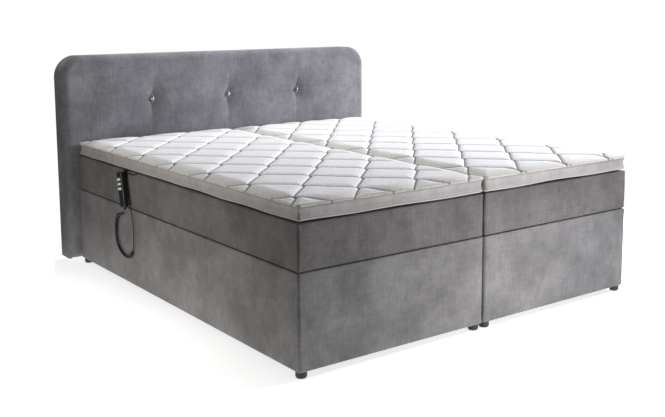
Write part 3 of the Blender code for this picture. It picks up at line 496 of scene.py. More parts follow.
def ticking(side):
    """Quilted knit on top with painted shade along its stitches, and below the seam a mesh border with
    painted light on its rolled edge and painted shade under the overhang.
    """
    paint = Painter(f"quilted_ticking_{side}", (0.8, 0.8, 0.8), 0.92)
    place = paint.place(CLOTH)
    near, far = stitch_distance(paint, place, side)
    _, _, z = paint.axes(place)
    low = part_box(f"topper_seat_{side}")[0].z
    on_top = paint.ramp(z, low + BORDER_HEIGHT, low + BORDER_HEIGHT + 0.002)
    rim = paint.ramp(paint.kept(FROM_EDGE), 0.012, 0.055, 1.0, 0.0)
    ribs = paint.bands(paint.stretched(place, (1, 1, 1), (0, 0, math.radians(38))), 42, 0.9)
    dots = paint.voronoi(place, 120)
    pits = paint.ramp(dots, 0.10, 0.42, 0.66, 1.0)
    panel = paint.blend(rim, PANEL_TONE, PANEL_RIM_TONE)
    pitted = paint.math("MULTIPLY_ADD", rim, 0.6, 0.4)
    panel = paint.blend(pitted, panel, paint.blend(1.0, panel, pits, "MULTIPLY"))
    panel = paint.blend(paint.math("MULTIPLY", ribs, 0.16), panel, RIB_TONE)
    # Painted shade: the panel darkens towards each stitch line, as in the groove's shadow.
    groove_shade = paint.ramp(near, 0.001, 0.011, 0.62, 0.0)
    panel = paint.blend(groove_shade, panel, GROOVE_SHADE_TONE)
    # The stitch thread in dashes, painted dark with the shade at the bottom of each groove.
    dashes = paint.ramp(paint.noise(place, 170, 1.0), 0.38, 0.55, 0.55, 1.0)
    thread_and_shade = paint.math("MULTIPLY", paint.ramp(near, 0.0014, 0.0042, 1.0, 0.0), dashes)
    panel = paint.blend(paint.math("MULTIPLY", thread_and_shade, 0.8), panel, THREAD_AND_SHADE_TONE)
    # Darker where two stitch lines run together.
    crossing = paint.ramp(far, 0.006, 0.018, 1.0, 0.0)
    meeting_dark = paint.math("MULTIPLY", crossing, paint.ramp(near, 0.003, 0.008, 1.0, 0.0))
    panel = paint.blend(paint.math("MULTIPLY", meeting_dark, 0.75), panel, MEETING_DARK_TONE)
    holes = paint.voronoi(paint.stretched(place, (1, 1, 1.3)), 330)
    mesh_tone = paint.ramp(holes, 0.2, 0.5, 0.78, 1.04)
    streaky = paint.ramp(paint.noise(paint.stretched(place, (1, 1, 0.25)), 22, 3.0), 0.3, 0.7, 0.9, 1.08)
    band = paint.blend(1.0, BORDER_TONE, mesh_tone, "MULTIPLY")
    band = paint.blend(1.0, band, streaky, "MULTIPLY")
    # Painted light: the rolled lower edge is lighter, as where it bulges out into the light.
    roll = paint.ramp(z, low + ROLL_HEIGHT - 0.001, low + ROLL_HEIGHT + 0.006, 1.0, 0.0)
    band = paint.blend(roll, band, ROLL_LIT_TONE)
    under = paint.ramp(z, low + BORDER_HEIGHT - 0.012, low + BORDER_HEIGHT - 0.001, 0.0, 0.45)
    band = paint.blend(under, band, SHADED_TONE)
    paint.colour(paint.blend(on_top, band, panel))
    relief = paint.math("MULTIPLY_ADD", ribs, 0.4, dots)
    first = paint.bump(relief, 0.0014, 0.6)
    puffed = paint.math("MULTIPLY", paint.ramp(near, 0.0, 0.008), on_top)
    paint.bump(puffed, 0.003, 0.7, first)
    paint.plain("Sheen Weight", 0.1)
    paint.plain("Specular IOR Level", 0.2)
    return paint.made


def beech():
    """Lacquered beech: soft bands of grain along the slats with short dark flecks."""
    paint = Painter("lacquered_beech", (0.72, 0.52, 0.33), 0.45)
    place = paint.place()
    grain = paint.bands(paint.stretched(place, (0.35, 9, 9)), 1.6, 5.0)
    fleck = paint.noise(paint.stretched(place, (30, 320, 320)), 1.0, 2.0)
    tone = paint.blend(grain, (0.66, 0.45, 0.27), (0.78, 0.59, 0.40))
    flecks = paint.ramp(fleck, 0.62, 0.72, 0.0, 0.45)
    paint.colour(paint.blend(flecks, tone, (0.40, 0.23, 0.12)))
    paint.roughness(paint.ramp(grain, 0.0, 1.0, 0.38, 0.5))
    paint.bump(fleck, 0.0002, 0.4)
    paint.plain("Coat Weight", 0.25)
    paint.plain("Coat Roughness", 0.2)
    return paint.made


def powder_steel():
    """Dark powder coat: a fine orange-peel skin with worn, slightly lighter patches."""
    paint = Painter("powder_steel", (0.1, 0.1, 0.105), 0.42)
    place = paint.place()
    wear = paint.noise(place, 30, 5.0)
    worn = paint.ramp(wear, 0.5, 0.75, 0.0, 0.5)
    paint.colour(paint.blend(worn, (0.075, 0.075, 0.08), (0.17, 0.17, 0.175)))
    paint.roughness(paint.ramp(wear, 0.3, 0.7, 0.36, 0.52))
    paint.bump(paint.noise(place, 900, 1.0), 0.0002, 0.5)
    paint.plain("Specular IOR Level", 0.6)
    return paint.made


def moulded_black(name, tone, roughness):
    """Moulded plastic with a fine spark-eroded texture."""
    paint = Painter(name, tone, roughness)
    place = paint.place()
    grain = paint.voronoi(place, 1400)
    smear = paint.noise(place, 24, 3.0)
    worn = tuple(part * 1.7 + 0.002 for part in tone)
    paint.colour(paint.blend(paint.ramp(smear, 0.42, 0.75, 0.0, 0.6), tone, worn))
    paint.roughness(paint.ramp(smear, 0.3, 0.7, roughness - 0.06, roughness + 0.08))
    paint.bump(grain, 0.00012, 0.5)
    return paint.made


def cord_rubber():
    """Soft black cable sheath, satin where it has been handled."""
    paint = Painter("cord_rubber", (0.02, 0.02, 0.021), 0.5)
    place = paint.place(CLOTH)
    dust = paint.noise(place, 160, 3.0)
    dusty = paint.ramp(dust, 0.5, 0.8, 0.0, 0.6)
    paint.colour(paint.blend(dusty, (0.014, 0.014, 0.015), (0.045, 0.045, 0.046)))
    paint.roughness(paint.ramp(dust, 0.3, 0.7, 0.4, 0.6))
    return paint.made


def key_plastic():
    """Pale translucent keys, a little darker where the thumb rests."""
    paint = Painter("pale_keys", (0.72, 0.78, 0.68), 0.35)
    place = paint.place()
    rubbed = paint.noise(place, 90, 3.0)
    paint.colour(paint.blend(paint.ramp(rubbed, 0.45, 0.75), (0.80, 0.86, 0.74), (0.62, 0.68, 0.58)))
    paint.bump(paint.noise(place, 700, 2.0), 0.0001, 0.4)
    paint.plain("Subsurface Weight", 0.15)
    paint.plain("Subsurface Radius", (0.003, 0.003, 0.002))
    paint.plain("Coat Weight", 0.3)
    return paint.made


def cut_glass():
    """A bright mirrored stone for the buttons."""
    paint = Painter("cut_glass", (0.5, 0.5, 0.53), 0.08, 1.0)
    place = paint.place()
    cloud = paint.noise(place, 300, 2.0)
    paint.colour(paint.blend(paint.ramp(cloud, 0.35, 0.65), (0.30, 0.30, 0.33), (0.75, 0.75, 0.80)))
    paint.roughness(paint.ramp(cloud, 0.3, 0.7, 0.04, 0.14))
    return paint.made


def dust_lining():
    """The plain dark cloth and board inside a base box."""
    paint = Painter("box_lining", (0.04, 0.04, 0.04), 0.95)
    place = paint.place()
    warp = paint.bands(place, 190, 0.2)
    weft = paint.bands(paint.stretched(place, (1, 1, 1), (0, 0, math.pi / 2)), 190, 0.2)
    weave = paint.math("MULTIPLY", warp, weft)
    paint.colour(paint.blend(weave, (0.022, 0.021, 0.021), (0.06, 0.059, 0.058)))
    paint.bump(weave, 0.0004, 0.6)
    return paint.made


# Shapes: nets of quads worked out as whole arrays


def grid_lines(low, high, step, edge=0.0, fine=0.0):
    """Places from low to high: a fine step within an edge's width of each end, a wide one between."""
    if not edge:
        return np.linspace(low, high, max(1, round((high - low) / step)) + 1)
    ends = np.linspace(0, edge, max(1, round(edge / fine)) + 1)[:-1]
    count = max(1, round((high - low - 2 * edge) / step)) + 1
    middle = np.linspace(low + edge, high - edge, count)
    return np.concatenate([low + ends, middle, (high - ends)[::-1]])


def finer_near(lines, places, reach, step):
    """Grid lines with finer ones within reach of each place, in place of the wide ones there."""
    for place in places:
        fine = np.linspace(place - reach, place + reach, 2 * round(reach / step) + 1)
        lines = np.sort(np.concatenate([lines[np.abs(lines - place) > reach + step / 2], fine]))
    return lines


def box_net(xs, ys, zs):
    """The skin of a box between grid lines: its points, and its quads wound to face out."""
    lines = [np.asarray(places, float) for places in (xs, ys, zs)]
    sizes = [len(places) for places in lines]
    quads = []
    for axis in range(3):
        u, v = (axis + 1) % 3, (axis + 2) % 3
        a, b = np.meshgrid(np.arange(sizes[u] - 1), np.arange(sizes[v] - 1), indexing="ij")
        for end in (0, sizes[axis] - 1):
            corners = []
            for du, dv in ((0, 0), (1, 0), (1, 1), (0, 1)):
                at = [None, None, None]
                at[axis], at[u], at[v] = np.full(a.shape, end), a + du, b + dv
                corners.append((at[0] * sizes[1] + at[1]) * sizes[2] + at[2])
            quad = np.stack(corners, -1).reshape(-1, 4)
            quads.append(quad if end else quad[:, ::-1])
    used, flat = np.unique(np.concatenate(quads), return_inverse=True)
    i, j, k = used // (sizes[1] * sizes[2]), used // sizes[2] % sizes[1], used % sizes[2]
    points = np.stack([lines[0][i], lines[1][j], lines[2][k]], axis=1)
    return points, flat.reshape(-1, 4)


def rounded(points, low, high, radius):
    """Points of a box's skin moved to the box with rounded edges, and the way out at each.

    Each turns about the nearest point of the box that lies a radius inside."""
    radius = np.broadcast_to(np.asarray(radius, float), (3,))
    centre = np.clip(points, low + radius, high - radius)
    away = (points - centre) / radius
    away /= np.maximum(np.linalg.norm(away, axis=1, keepdims=True), 1e-9)
    return centre + radius * away, away


def waves(points, length, seed, count=7):
    """A smooth random field, mostly from -1 to 1: a sum of sine waves of about that length.

    Each has its own random direction, length and shift."""
    draw = np.random.default_rng(seed)
    ways = draw.normal(size=(count, 3))
    ways /= np.linalg.norm(ways, axis=1, keepdims=True)
    ways *= (2 * np.pi / (length * draw.uniform(0.7, 1.6, count)))[:, None]
    shifts = draw.uniform(0, 2 * np.pi, count)
    return np.sin(points @ ways.T + shifts).sum(axis=1) / (1.4 * np.sqrt(count))


def field_sum(points, fields):
    """The sum of several wave fields, each multiplied by its height."""
    return sum(height * waves(points, *settings) for height, *settings in fields)


def bell(distance, width):
    """The bell curve exp(-(distance / width)^2), 1 at the middle."""
    return np.exp(-((distance / width) ** 2))


def point_normals(points, quads):
    """The way out at each point: the sum of its quads' normals, larger quads counting more."""
    first, second, third, fourth = (points[quads[:, corner]] for corner in range(4))
    face = np.cross(third - first, fourth - second)
    total = np.zeros_like(points)
    for corner in range(4):
        np.add.at(total, quads[:, corner], face)
    return total / np.maximum(np.linalg.norm(total, axis=1, keepdims=True), 1e-12)


def sewn_piece(name, points, quads, material, normals=None, rest=None, extra=None):
    """A smooth mesh object of those quads, which keeps each point's place on the flat bed."""
    used, flat = np.unique(quads, return_inverse=True)
    mesh = bpy.data.meshes.new(name)
    mesh.from_pydata(points[used].tolist(), [], flat.reshape(quads.shape).tolist())
    mesh.polygons.foreach_set("use_smooth", np.ones(len(quads), bool))
    place = mesh.attributes.new(CLOTH, "FLOAT_VECTOR", "POINT")
    source = points if rest is None else rest
    place.data.foreach_set("vector", source[used].astype(np.float32).ravel())
    for label, values in (extra or {}).items():
        kept = mesh.attributes.new(label, "FLOAT", "POINT")
        kept.data.foreach_set("value", values[used].astype(np.float32))
    mesh.materials.append(material)
    made = bpy.data.objects.new(name, mesh)
    bpy.context.scene.collection.objects.link(made)
    if normals is not None:
        mesh.normals_split_custom_set_from_vertices(normals[used].tolist())
    return made


def wall_net(rings):
    """Rings of the same number of points, joined to the next ring by one quad per point."""
    levels, around = rings.shape[:2]
    index = np.arange(levels * around).reshape(levels, around)
    after = np.roll(index, -1, axis=1)
    quads = np.stack([index[:-1], after[:-1], after[1:], index[1:]], axis=-1).reshape(-1, 4)
    return rings.reshape(-1, 3), quads


# Base boxes


def plan_ring(low, high, radius, counts, z, seam):
    """A rounded rectangle in plan, anticlockwise: four quarter circles joined by straight runs.

    At the middle of each corner the radius is smaller by a bell curve as deep as the seam."""
    centres = [
        (high[0] - radius, low[1] + radius, -0.5),
        (high[0] - radius, high[1] - radius, 0.0),
        (low[0] + radius, high[1] - radius, 0.5),
        (low[0] + radius, low[1] + radius, 1.0),
    ]
    runs = []
    for number, (x, y, start) in enumerate(centres):
        angle = np.pi * (start + np.linspace(0, 0.5, CORNER_STEPS))
        reach = radius - seam * bell(np.linspace(-1, 1, CORNER_STEPS), SEAM_SHARE)
        arc = np.stack([x + reach * np.cos(angle), y + reach * np.sin(angle)], axis=1)
        runs.append(arc)
        follow = centres[(number + 1) % 4]
        share = np.linspace(0, 1, counts[number % 2 == 1] + 2)[1:-1, None]
        end = follow[:2] + radius * np.array([np.cos(angle[-1]), np.sin(angle[-1])])
        runs.append(arc[-1] + (end - arc[-1]) * share)
    ring = np.concatenate(runs)
    return np.concatenate([ring, np.full((len(ring), 1), z)], axis=1)


def make_base_box(side, cloth, lining):
    """A tub lofted through rounded rectangles: cloth outside and over the rim, lining inside.

    Quarter circles round its foot and rim. Its side faces move out by a sum of wave fields, a millimetre or
    so, which fades out at the foot and the rim."""
    low, high = (np.array(corner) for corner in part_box(f"base_box_{side}"))
    top, foot = high[2], low[2]
    rings = []

    def ring(inset_x, inset_y, radius, z, seam=0.0):
        inset = np.array([inset_x, inset_y])
        rings.append(plan_ring(low[:2] + inset, high[:2] - inset, radius, BOX_STEPS, z, seam))

    for turn in np.linspace(0, np.pi / 2, 5):
        inset = FOOT_ROUND * (1 - np.sin(turn))
        ring(inset, inset, BOX_CORNER - inset, foot + FOOT_ROUND * (1 - np.cos(turn)))
    for z in np.linspace(foot + FOOT_ROUND, top - RIM_ROUND, 16)[1:-1]:
        ring(0, 0, BOX_CORNER, z, SEAM_GROOVE)
    for turn in np.linspace(0, np.pi / 2, 6):
        inset = RIM_ROUND * (1 - np.cos(turn))
        ring(inset, inset, BOX_CORNER - inset * 0.5, top - RIM_ROUND * (1 - np.sin(turn)))
    outside = len(rings)
    for back, drop in ((0.004, 0.0), (0.001, 0.001), (0, 0.004)):  # the rim's inner edge, rounded
        ring(BOX_WALL - back, BOX_WALL - back, INNER_CORNER, top - drop)
    cloth_levels = len(rings)
    ring(BOX_WALL, BOX_WALL, INNER_CORNER, top - LEDGE_DROP)
    ring(LEDGE_REACH, BOX_WALL, INNER_CORNER, top - LEDGE_DROP)
    ring(LEDGE_REACH, BOX_WALL, INNER_CORNER, foot + BOARD)
    stack = np.array(rings)
    around = stack.shape[1]
    middle = (low + high) / 2
    points = stack.reshape(-1, 3)
    level = np.repeat(np.arange(len(rings)), around)
    height = (points[:, 2] - foot) / (top - foot)
    fade = smoothstep(height / FADE_SHARE) * smoothstep((1 - height) / FADE_SHARE) * (level < outside)
    offset = points[:, :2] - middle[:2]
    on_face = np.abs(offset) - (high - low)[:2] / 2 > -0.002
    facing = np.zeros_like(points)
    facing[:, :2] = np.sign(offset) * on_face
    points = points + facing * ((field_sum(points, BOX_FIELDS) - COVER_DEPTH) * fade)[:, None]
    points, quads = wall_net(points.reshape(stack.shape))
    made = sewn_piece(f"box_cover_{side}", points, quads, cloth)
    mesh = made.data
    mesh.materials.append(lining)
    which = np.repeat(np.arange(len(rings) - 1) >= cloth_levels - 1, around).astype(np.int32)
    mesh.polygons.foreach_set("material_index", which)
    close_end(made, np.arange(around)[::-1])
    close_end(made, np.arange(around) + around * (len(rings) - 1))
    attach(made, "root")
    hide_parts(f"base_box_{side}")


def close_end(made, ring):
    """One flat face of the second material over an open ring of an object's mesh."""
    shape = bmesh.new()
    shape.from_mesh(made.data)
    shape.verts.ensure_lookup_table()
    face = shape.faces.new([shape.verts[i] for i in ring])
    face.material_index = 1
    shape.to_mesh(made.data)
    shape.free()


# Mattress and topper


def layer_box(layer, side):
    """The corners of a whole mattress or topper, over its five slabs."""
    boxes = [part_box(f"{layer}_{slab}_{side}") for slab in SLABS]
    low = np.min([np.array(box[0]) for box in boxes], axis=0)
    high = np.max([np.array(box[1]) for box in boxes], axis=0)
    return low, high


# A length's name, joint, bodies on both sides, reach of its bend (below 0 towards the foot) and slabs.
BENDS = (
    ("legs", "knee_bend", "thigh_pad", "calf_pad", -0.15, ("calf",)),
    ("thigh", "thigh_bend", "root", "thigh_pad", -0.1, ("thigh",)),
    ("seat", "lumbar_bend", "root", "lumbar_pad", 0.1, ("seat",)),
    ("back", "back_bend", "lumbar_pad", "back_pad", BACK_WINDOW, ("lumbar", "back")),
)


def meeting_places(side):
    """Where the lengths of a layer begin and end: halfway between two bends, and far past its ends."""
    places = [JOINT_Y[f"{bend[1]}_{side}"] for bend in BENDS]
    return [-9, *((a + b) / 2 for a, b in zip(places, places[1:])), 9]


def with_meets(lines, side):
    """Grid lines along the bed, with the nearest ones moved onto the places where lengths meet."""
    lines = np.array(lines)
    for place in meeting_places(side)[1:-1]:
        lines[np.argmin(np.abs(lines - place))] = place
    return lines


def sew_lengths(layer, side, points, quads, rest, material, extra=None):
    """Cuts a whole layer's net at the meeting places into one piece for each length, and hides the slabs it
    covers.
    """
    normals = point_normals(points, quads)
    centre_y = rest[quads, 1].mean(axis=1)
    meets = meeting_places(side)
    for (name, joint, *bodies, reach, slabs), start, end in zip(BENDS, meets, meets[1:]):
        chosen = quads[(centre_y > start) & (centre_y < end)]
        label = f"{layer}_cover_{name}_{side}"
        made = sewn_piece(label, points, chosen, material, normals, rest, extra)
        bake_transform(made)
        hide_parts(*[f"{layer}_{slab}_{side}" for slab in slabs])


def make_mattress(side, cloth):
    """A foam block in a sewn velour cover.

    A box with quarter circles for its edges. Each point then moves along its way out by a sum of wave fields
    that fades towards the upper and lower edge, where the cover is tucked in, and by less in a bell curve at
    each corner's seam. Under two stretches the underside arches up as a half sine wave. On the left side a
    bell-shaped channel takes the cord, bell-shaped pits draw the face in and carry painted shade that darkens
    them, and a crease falls off on both sides of its line as exp(-distance)."""
    low, high = layer_box("mattress", side)
    is_left = side == "left"
    xs = grid_lines(low[0], high[0], 0.022, 0.018, EDGE_STEP)
    ys = grid_lines(low[1], high[1], 0.020, 0.018, EDGE_STEP)
    zs = grid_lines(low[2], high[2], 0.012, 0.015, EDGE_STEP)
    if is_left:
        ys = finer_near(ys, [y_of(CABLE_S)], 0.016, 0.0027)
        for pits, _, _, _, step in PITS:
            ys = finer_near(ys, [y_of(s) for s, _ in pits], 3 * step, step)
            zs = finer_near(zs, [z for _, z in pits], 4 * step, step)
    net, quads = box_net(xs, with_meets(ys, side), zs)
    points, out = rounded(net, low, high, MATTRESS_ROUND)
    middle, half = (low + high) / 2, (high - low) / 2
    share = np.clip(np.abs(net - middle) / half, 0, 1)
    full = smoothstep((1 - share[:, 2]) / 0.5)
    corner_gap = np.abs(points[:, :2] - middle[:2]) - (half[:2] - 0.29 * MATTRESS_ROUND)
    seam = bell(np.linalg.norm(corner_gap, axis=1), SEAM_HALF_WIDTH)
    shift = field_sum(net, MATTRESS_FIELDS[side]) * full
    shift = shift - MATTRESS_TUCK * (1 - full) - SEAM_GROOVE * seam * full
    points = points + out * shift[:, None]
    rim_gap = (half[:2] - np.abs(points[:, :2] - middle[:2])).min(axis=1)
    near_foot = smoothstep((low[2] + 0.03 - points[:, 2]) / 0.03)
    points[:, 2] -= RIM_DROP * smoothstep((0.021 - rim_gap) / 0.01) * near_foot
    pit_shade = np.zeros(len(net))
    if is_left:
        channel = bell(points[:, 1] - y_of(CABLE_S), CABLE_HALF_WIDTH)
        channel *= smoothstep((low[0] + 0.05 - points[:, 0]) / 0.02)
        points[:, 2] -= CABLE_DEPTH * channel * smoothstep((points[:, 2] - high[2] + 0.02) / 0.016)
        on_face = points[:, 0] < low[0] + 0.02
        for pits, depth, wide, tall, _ in PITS:
            for s, z in pits:
                span = np.hypot((points[:, 1] - y_of(s)) / wide, (points[:, 2] - z) / tall)
                pit = bell(span, 1) * on_face
                points[:, 0] += depth * pit
                # Each pit's painted shade grows with its depth.
                pit_shade = np.maximum(pit_shade, pit * depth / PIT_SHADE_DEPTH)
        crease = np.exp(-np.abs(points[:, 1] - y_of(CREASE_S)) / CREASE_REACH)
        crease *= smoothstep((0.50 - points[:, 2]) / 0.04)
        points[:, 0] += CREASE_DEPTH * crease * full * on_face
    below = smoothstep((low[2] + 0.03 - points[:, 2]) / 0.02)
    below *= smoothstep((half[0] - 0.03 - np.abs(net[:, 0] - middle[0])) / 0.01)
    for start, end in LIFTS:
        along = np.clip((net[:, 1] - y_of(start)) / (end - start), 0, 1)
        points[:, 2] += LIFT_HEIGHT * np.sin(np.pi * along) ** 0.7 * below
    sew_lengths("mattress", side, points, quads, net, cloth, {PIT_SHADE: pit_shade})


def quilt(x, y, side):
    """Height of the padding, from 0 in a stitch line to 1 at the middle of a cell.

    Two families of lines run along the bed. Each swings from side to side as a clipped triangle wave, and the
    families swing opposite ways, so that neighbours meet and part. Beside a line the height rises steeply as
    1 - exp(-distance^1.4), and then slowly as a smooth ramp to the power 0.7."""
    start_x, start_s = QUILT_START[side]
    half = QUILT_PERIOD[side] / 2
    along = np.abs((y - y_of(start_s) + half) % (2 * half) - half)
    swing = np.clip(STITCH_CREST * (1 - 2 * along / half), -1, 1) * STITCH_SWING
    wide = STITCH_SPACING / 2
    even = np.abs((x - start_x - swing + wide) % (2 * wide) - wide)
    odd = np.abs((x - start_x - wide + swing + wide) % (2 * wide) - wide)
    near = np.minimum(even, odd)
    groove = 1 - np.exp(-((near / QUILT_FALL) ** 1.4))
    crown = smoothstep(near / QUILT_WIDTH) ** 0.7
    return 0.58 * groove + 0.42 * crown


def make_topper(side, cloth):
    """A quilted pad: a padded top panel that overhangs a hollowed mesh border with a rolled lower edge.

    A box with elliptic edges. Up the border the outline moves out as a half sine wave at the roll, in as one
    over the band, and in as a bell curve at each of the two seams. The top panel lies lower by the quilt's
    padding, and falls off towards the outline as a smooth ramp. Wave fields make the seam gather and the
    lower edge sag."""
    low, high = layer_box("topper", side)
    step = 0.0042
    xs = grid_lines(low[0], high[0], step, 0.024, EDGE_STEP)
    ys = grid_lines(low[1], high[1], step, 0.024, EDGE_STEP)
    levels = (np.linspace(0, 0.016, 7), np.linspace(0.020, 0.048, 8), np.linspace(0.050, 0.070, 11))
    zs = low[2] + np.concatenate([*levels, [0.074, 0.078]])
    net, quads = box_net(xs, with_meets(ys, side), zs)
    level = net[:, 2] - low[2]
    inside = np.minimum(net[:, :2] - low[:2], high[:2] - net[:, :2]).min(axis=1)
    on_top = net[:, 2] > high[2] - 1e-6
    points, out = rounded(net, low, high, TOPPER_ROUND)
    roll = np.sin(np.pi * np.clip(level / ROLL_HEIGHT, 0, 1))
    band = np.clip((level - ROLL_HEIGHT) / (BORDER_HEIGHT - ROLL_HEIGHT), 0, 1)
    hollow = np.sin(np.pi * band) ** 0.8
    lip = smoothstep((level - BORDER_HEIGHT) / 0.006)
    shift = ROLL_OUT * roll - HOLLOW_IN * hollow + LIP_OUT * lip
    shift -= TOP_SEAM_IN * bell(level - BORDER_HEIGHT, SEAM_WIDTH)
    shift -= ROLL_SEAM_IN * bell(level - ROLL_HEIGHT, SEAM_WIDTH)
    shift += field_sum(net, BORDER_FIELDS) * (0.4 + 0.6 * hollow) - BORDER_SINK
    sideways = out.copy()
    sideways[:, 2] = 0
    points += sideways * shift[:, None]
    crown = smoothstep(inside / QUILT_WIDTH)
    ease = smoothstep(inside / 0.03)
    drop = EDGE_FALL * (1 - crown) + EDGE_NIP * (1 - ease)
    pulled = QUILT_DEPTH * (1 - quilt(net[:, 0], net[:, 1], side)) * (0.5 + 0.5 * ease)
    top = high[2] + PANEL_RISE - drop - pulled + field_sum(net, PANEL_FIELDS) * crown
    lowered = points[:, 2] - SHOULDER_DROP * smoothstep((level - BORDER_HEIGHT - SEAM_ABOVE) / SEAM_REACH)
    points[:, 2] = np.where(on_top, np.minimum(points[:, 2], top), lowered)
    seam = bell(level - BORDER_HEIGHT - SEAM_ABOVE, SEAM_REACH) * (inside < 0.03)
    flat = net * (1, 1, 0)
    points[:, 2] += field_sum(flat, GATHER_UP_FIELDS) * seam
    points += sideways * (field_sum(flat, GATHER_OUT_FIELDS) * seam)[:, None]
    sag = field_sum(flat, SAG_FIELDS) + SAG_RISE
    points[:, 2] += sag * (1 - smoothstep(level / 0.05)) * (inside < 0.02)
    sew_lengths("topper", side, points, quads, net, cloth, {FROM_EDGE: inside})


# Headboard


def make_headboard(cloth):
    """A padded panel with round top corners, soft front edges and three pulled tufts.

    In a box's net the square rings round each top corner become quarter circles. The front and back edges
    then turn about the line that lies a radius inside. The front moves in by the tufts' pull, less a sum of
    wave fields."""
    low, high = (np.array(corner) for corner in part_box("headboard"))
    step = 0.009
    tufts = (-TUFT_X, 0, TUFT_X)
    xs = finer_near(grid_lines(low[0], high[0], step, 0.04, 0.005), tufts, 0.05, 0.003)
    zs = finer_near(grid_lines(low[2], high[2], step, 0.04, 0.005), (TUFT_Z,), 0.09, 0.004)
    ys = grid_lines(low[1], high[1], 0.014, 0.04, 0.005)
    net, quads = box_net(xs, ys, zs)
    wing = np.sign(net[:, 0])
    corner_x, corner_z = high[0] - BOARD_CORNER, high[2] - BOARD_CORNER
    reach = np.stack([np.abs(net[:, 0]) - corner_x, net[:, 2] - corner_z], axis=1)
    in_corner = (reach > 0).all(axis=1)
    length = np.maximum(np.linalg.norm(reach, axis=1), 1e-9)
    ratio = reach.max(axis=1) / length
    points = net.copy()
    points[:, 0] = np.where(in_corner, wing * (corner_x + reach[:, 0] * ratio), net[:, 0])
    points[:, 2] = np.where(in_corner, corner_z + reach[:, 1] * ratio, net[:, 2])
    to_side, to_top, to_foot = high[0] - np.abs(net[:, 0]), high[2] - net[:, 2], net[:, 2] - low[2]
    depth_in = np.minimum(np.minimum(to_side, to_top), to_foot)
    at_side = (to_side <= to_top) & (to_side <= to_foot)
    at_top = (to_top < to_side) & (to_top <= to_foot)
    at_foot = (to_foot < to_side) & (to_foot < to_top)
    outward = np.zeros_like(net)
    outward[:, 0] = wing * np.where(in_corner, reach[:, 0] / length, at_side)
    outward[:, 2] = np.where(in_corner, reach[:, 1] / length, 1.0 * at_top - at_foot)
    for face_y, sign, radius in ((low[1], -1.0, BOARD_EDGE), (high[1], 1.0, BOARD_BACK_EDGE)):
        behind = np.abs(net[:, 1] - face_y)
        near = (behind < radius) & (depth_in < radius)
        away = np.stack([radius - depth_in, radius - behind])
        span = np.maximum(np.linalg.norm(away, axis=0), 1e-9)
        new_in, new_behind = radius - radius * away / span
        points += outward * np.where(near, depth_in - new_in, 0)[:, None]
        points[:, 1] = np.where(near, face_y - sign * new_behind, points[:, 1])
    front = smoothstep((low[1] + 0.05 - points[:, 1]) / 0.05) * smoothstep((depth_in - 0.004) / 0.06)
    pull = sum(tuft(net[:, 0] - x, net[:, 2] - TUFT_Z) for x in tufts)
    points[:, 1] += front * (pull - field_sum(net, HEADBOARD_FIELDS) + BOARD_SINK)
    normals = point_normals(points, quads)
    made = sewn_piece("headboard_cover", points, quads, cloth, normals, net)
    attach(made, "root")
    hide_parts("headboard")


def tuft(x, z):
    """How far a button pulls the cover in, at a place across and above it.

    A hollow falls off with distance as exp(-distance / reach). An upright fold falls off in the same way
    along a slightly leaning line and across it, wider away from the button. A cone limits both."""
    depth, reach = TUFT_HOLLOW
    hollow = depth * np.exp(-np.hypot(x, z * 0.75) / reach)
    tall = np.where(z > 0, 0.055, 0.090)
    lean = x - 0.06 * z
    width = 0.014 + 0.24 * np.abs(z)
    fold = TUFT_FOLD * np.exp(-np.abs(z) / tall) * np.exp(-np.abs(lean) / width)
    seat = TUFT_FLOOR + 0.7 * np.maximum(np.hypot(x, z) - BUTTON_RADIUS, 0)
    return np.minimum(hollow + fold, seat)


def make_button(name, glass):
    """A cut stone in a round setting.

    Its profile is turned in flats about its axis, and every second ring is turned by half a flat."""
    low, high = (np.array(corner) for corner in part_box(name))
    middle, radius = (low + high) / 2, STONE_SHARE * (high[0] - low[0]) / 2
    low[1] += STONE_SINK
    profile = np.array(STONE_PROFILE)
    turn = np.linspace(0, 2 * np.pi, STONE_FLATS, endpoint=False)
    offset = np.where(np.arange(len(profile)) % 2 == 0, 0.0, np.pi / STONE_FLATS)
    angle = turn[None, :] + offset[:, None]
    reach = profile[:, :1] * radius
    depth = low[1] + profile[:, 1:] * (high[1] - low[1]) + 0 * angle
    rings = np.stack([middle[0] + reach * np.cos(angle), depth, middle[2] + reach * np.sin(angle)], axis=-1)
    points, quads = wall_net(rings)
    made = sewn_piece(f"{name}_stone", points, quads, glass)
    merge_points(made)
    made.data.polygons.foreach_set("use_smooth", np.zeros(len(made.data.polygons), bool))
    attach(made, "root")
    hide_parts(name)


def merge_points(made):
    """Merges points that lie on each other, as at a pole, and turns every face outwards."""
    shape = bmesh.new()
    shape.from_mesh(made.data)
    bmesh.ops.remove_doubles(shape, verts=shape.verts, dist=1e-6)
    bmesh.ops.recalc_face_normals(shape, faces=shape.faces)
    shape.to_mesh(made.data)
    shape.free()


# Handset cord

def smooth_line(route, spacing):
    """Points a set distance apart on the Catmull-Rom curve through a route of (x, s, z) points."""
    places = np.array([(x, y_of(s), z) for x, s, z in route])
    padded = np.concatenate([[2 * places[0] - places[1]], places, [2 * places[-1] - places[-2]]])
    t = np.linspace(0, 1, 24, endpoint=False)[:, None]
    fine = []
    for a, b, c, d in zip(padded, padded[1:], padded[2:], padded[3:]):
        bend = (2 * a - 5 * b + 4 * c - d) * t**2 + (3 * b - a - 3 * c + d) * t**3
        fine.append(b + 0.5 * ((c - a) * t + bend))
    fine = np.concatenate([*fine, places[-1:]])
    along = np.concatenate([[0], np.cumsum(np.linalg.norm(np.diff(fine, axis=0), axis=1))])
    count = max(2, round(along[-1] / spacing) + 1)
    at = np.linspace(0, along[-1], count)
    return np.stack([np.interp(at, along, fine[:, axis]) for axis in range(3)], axis=1)


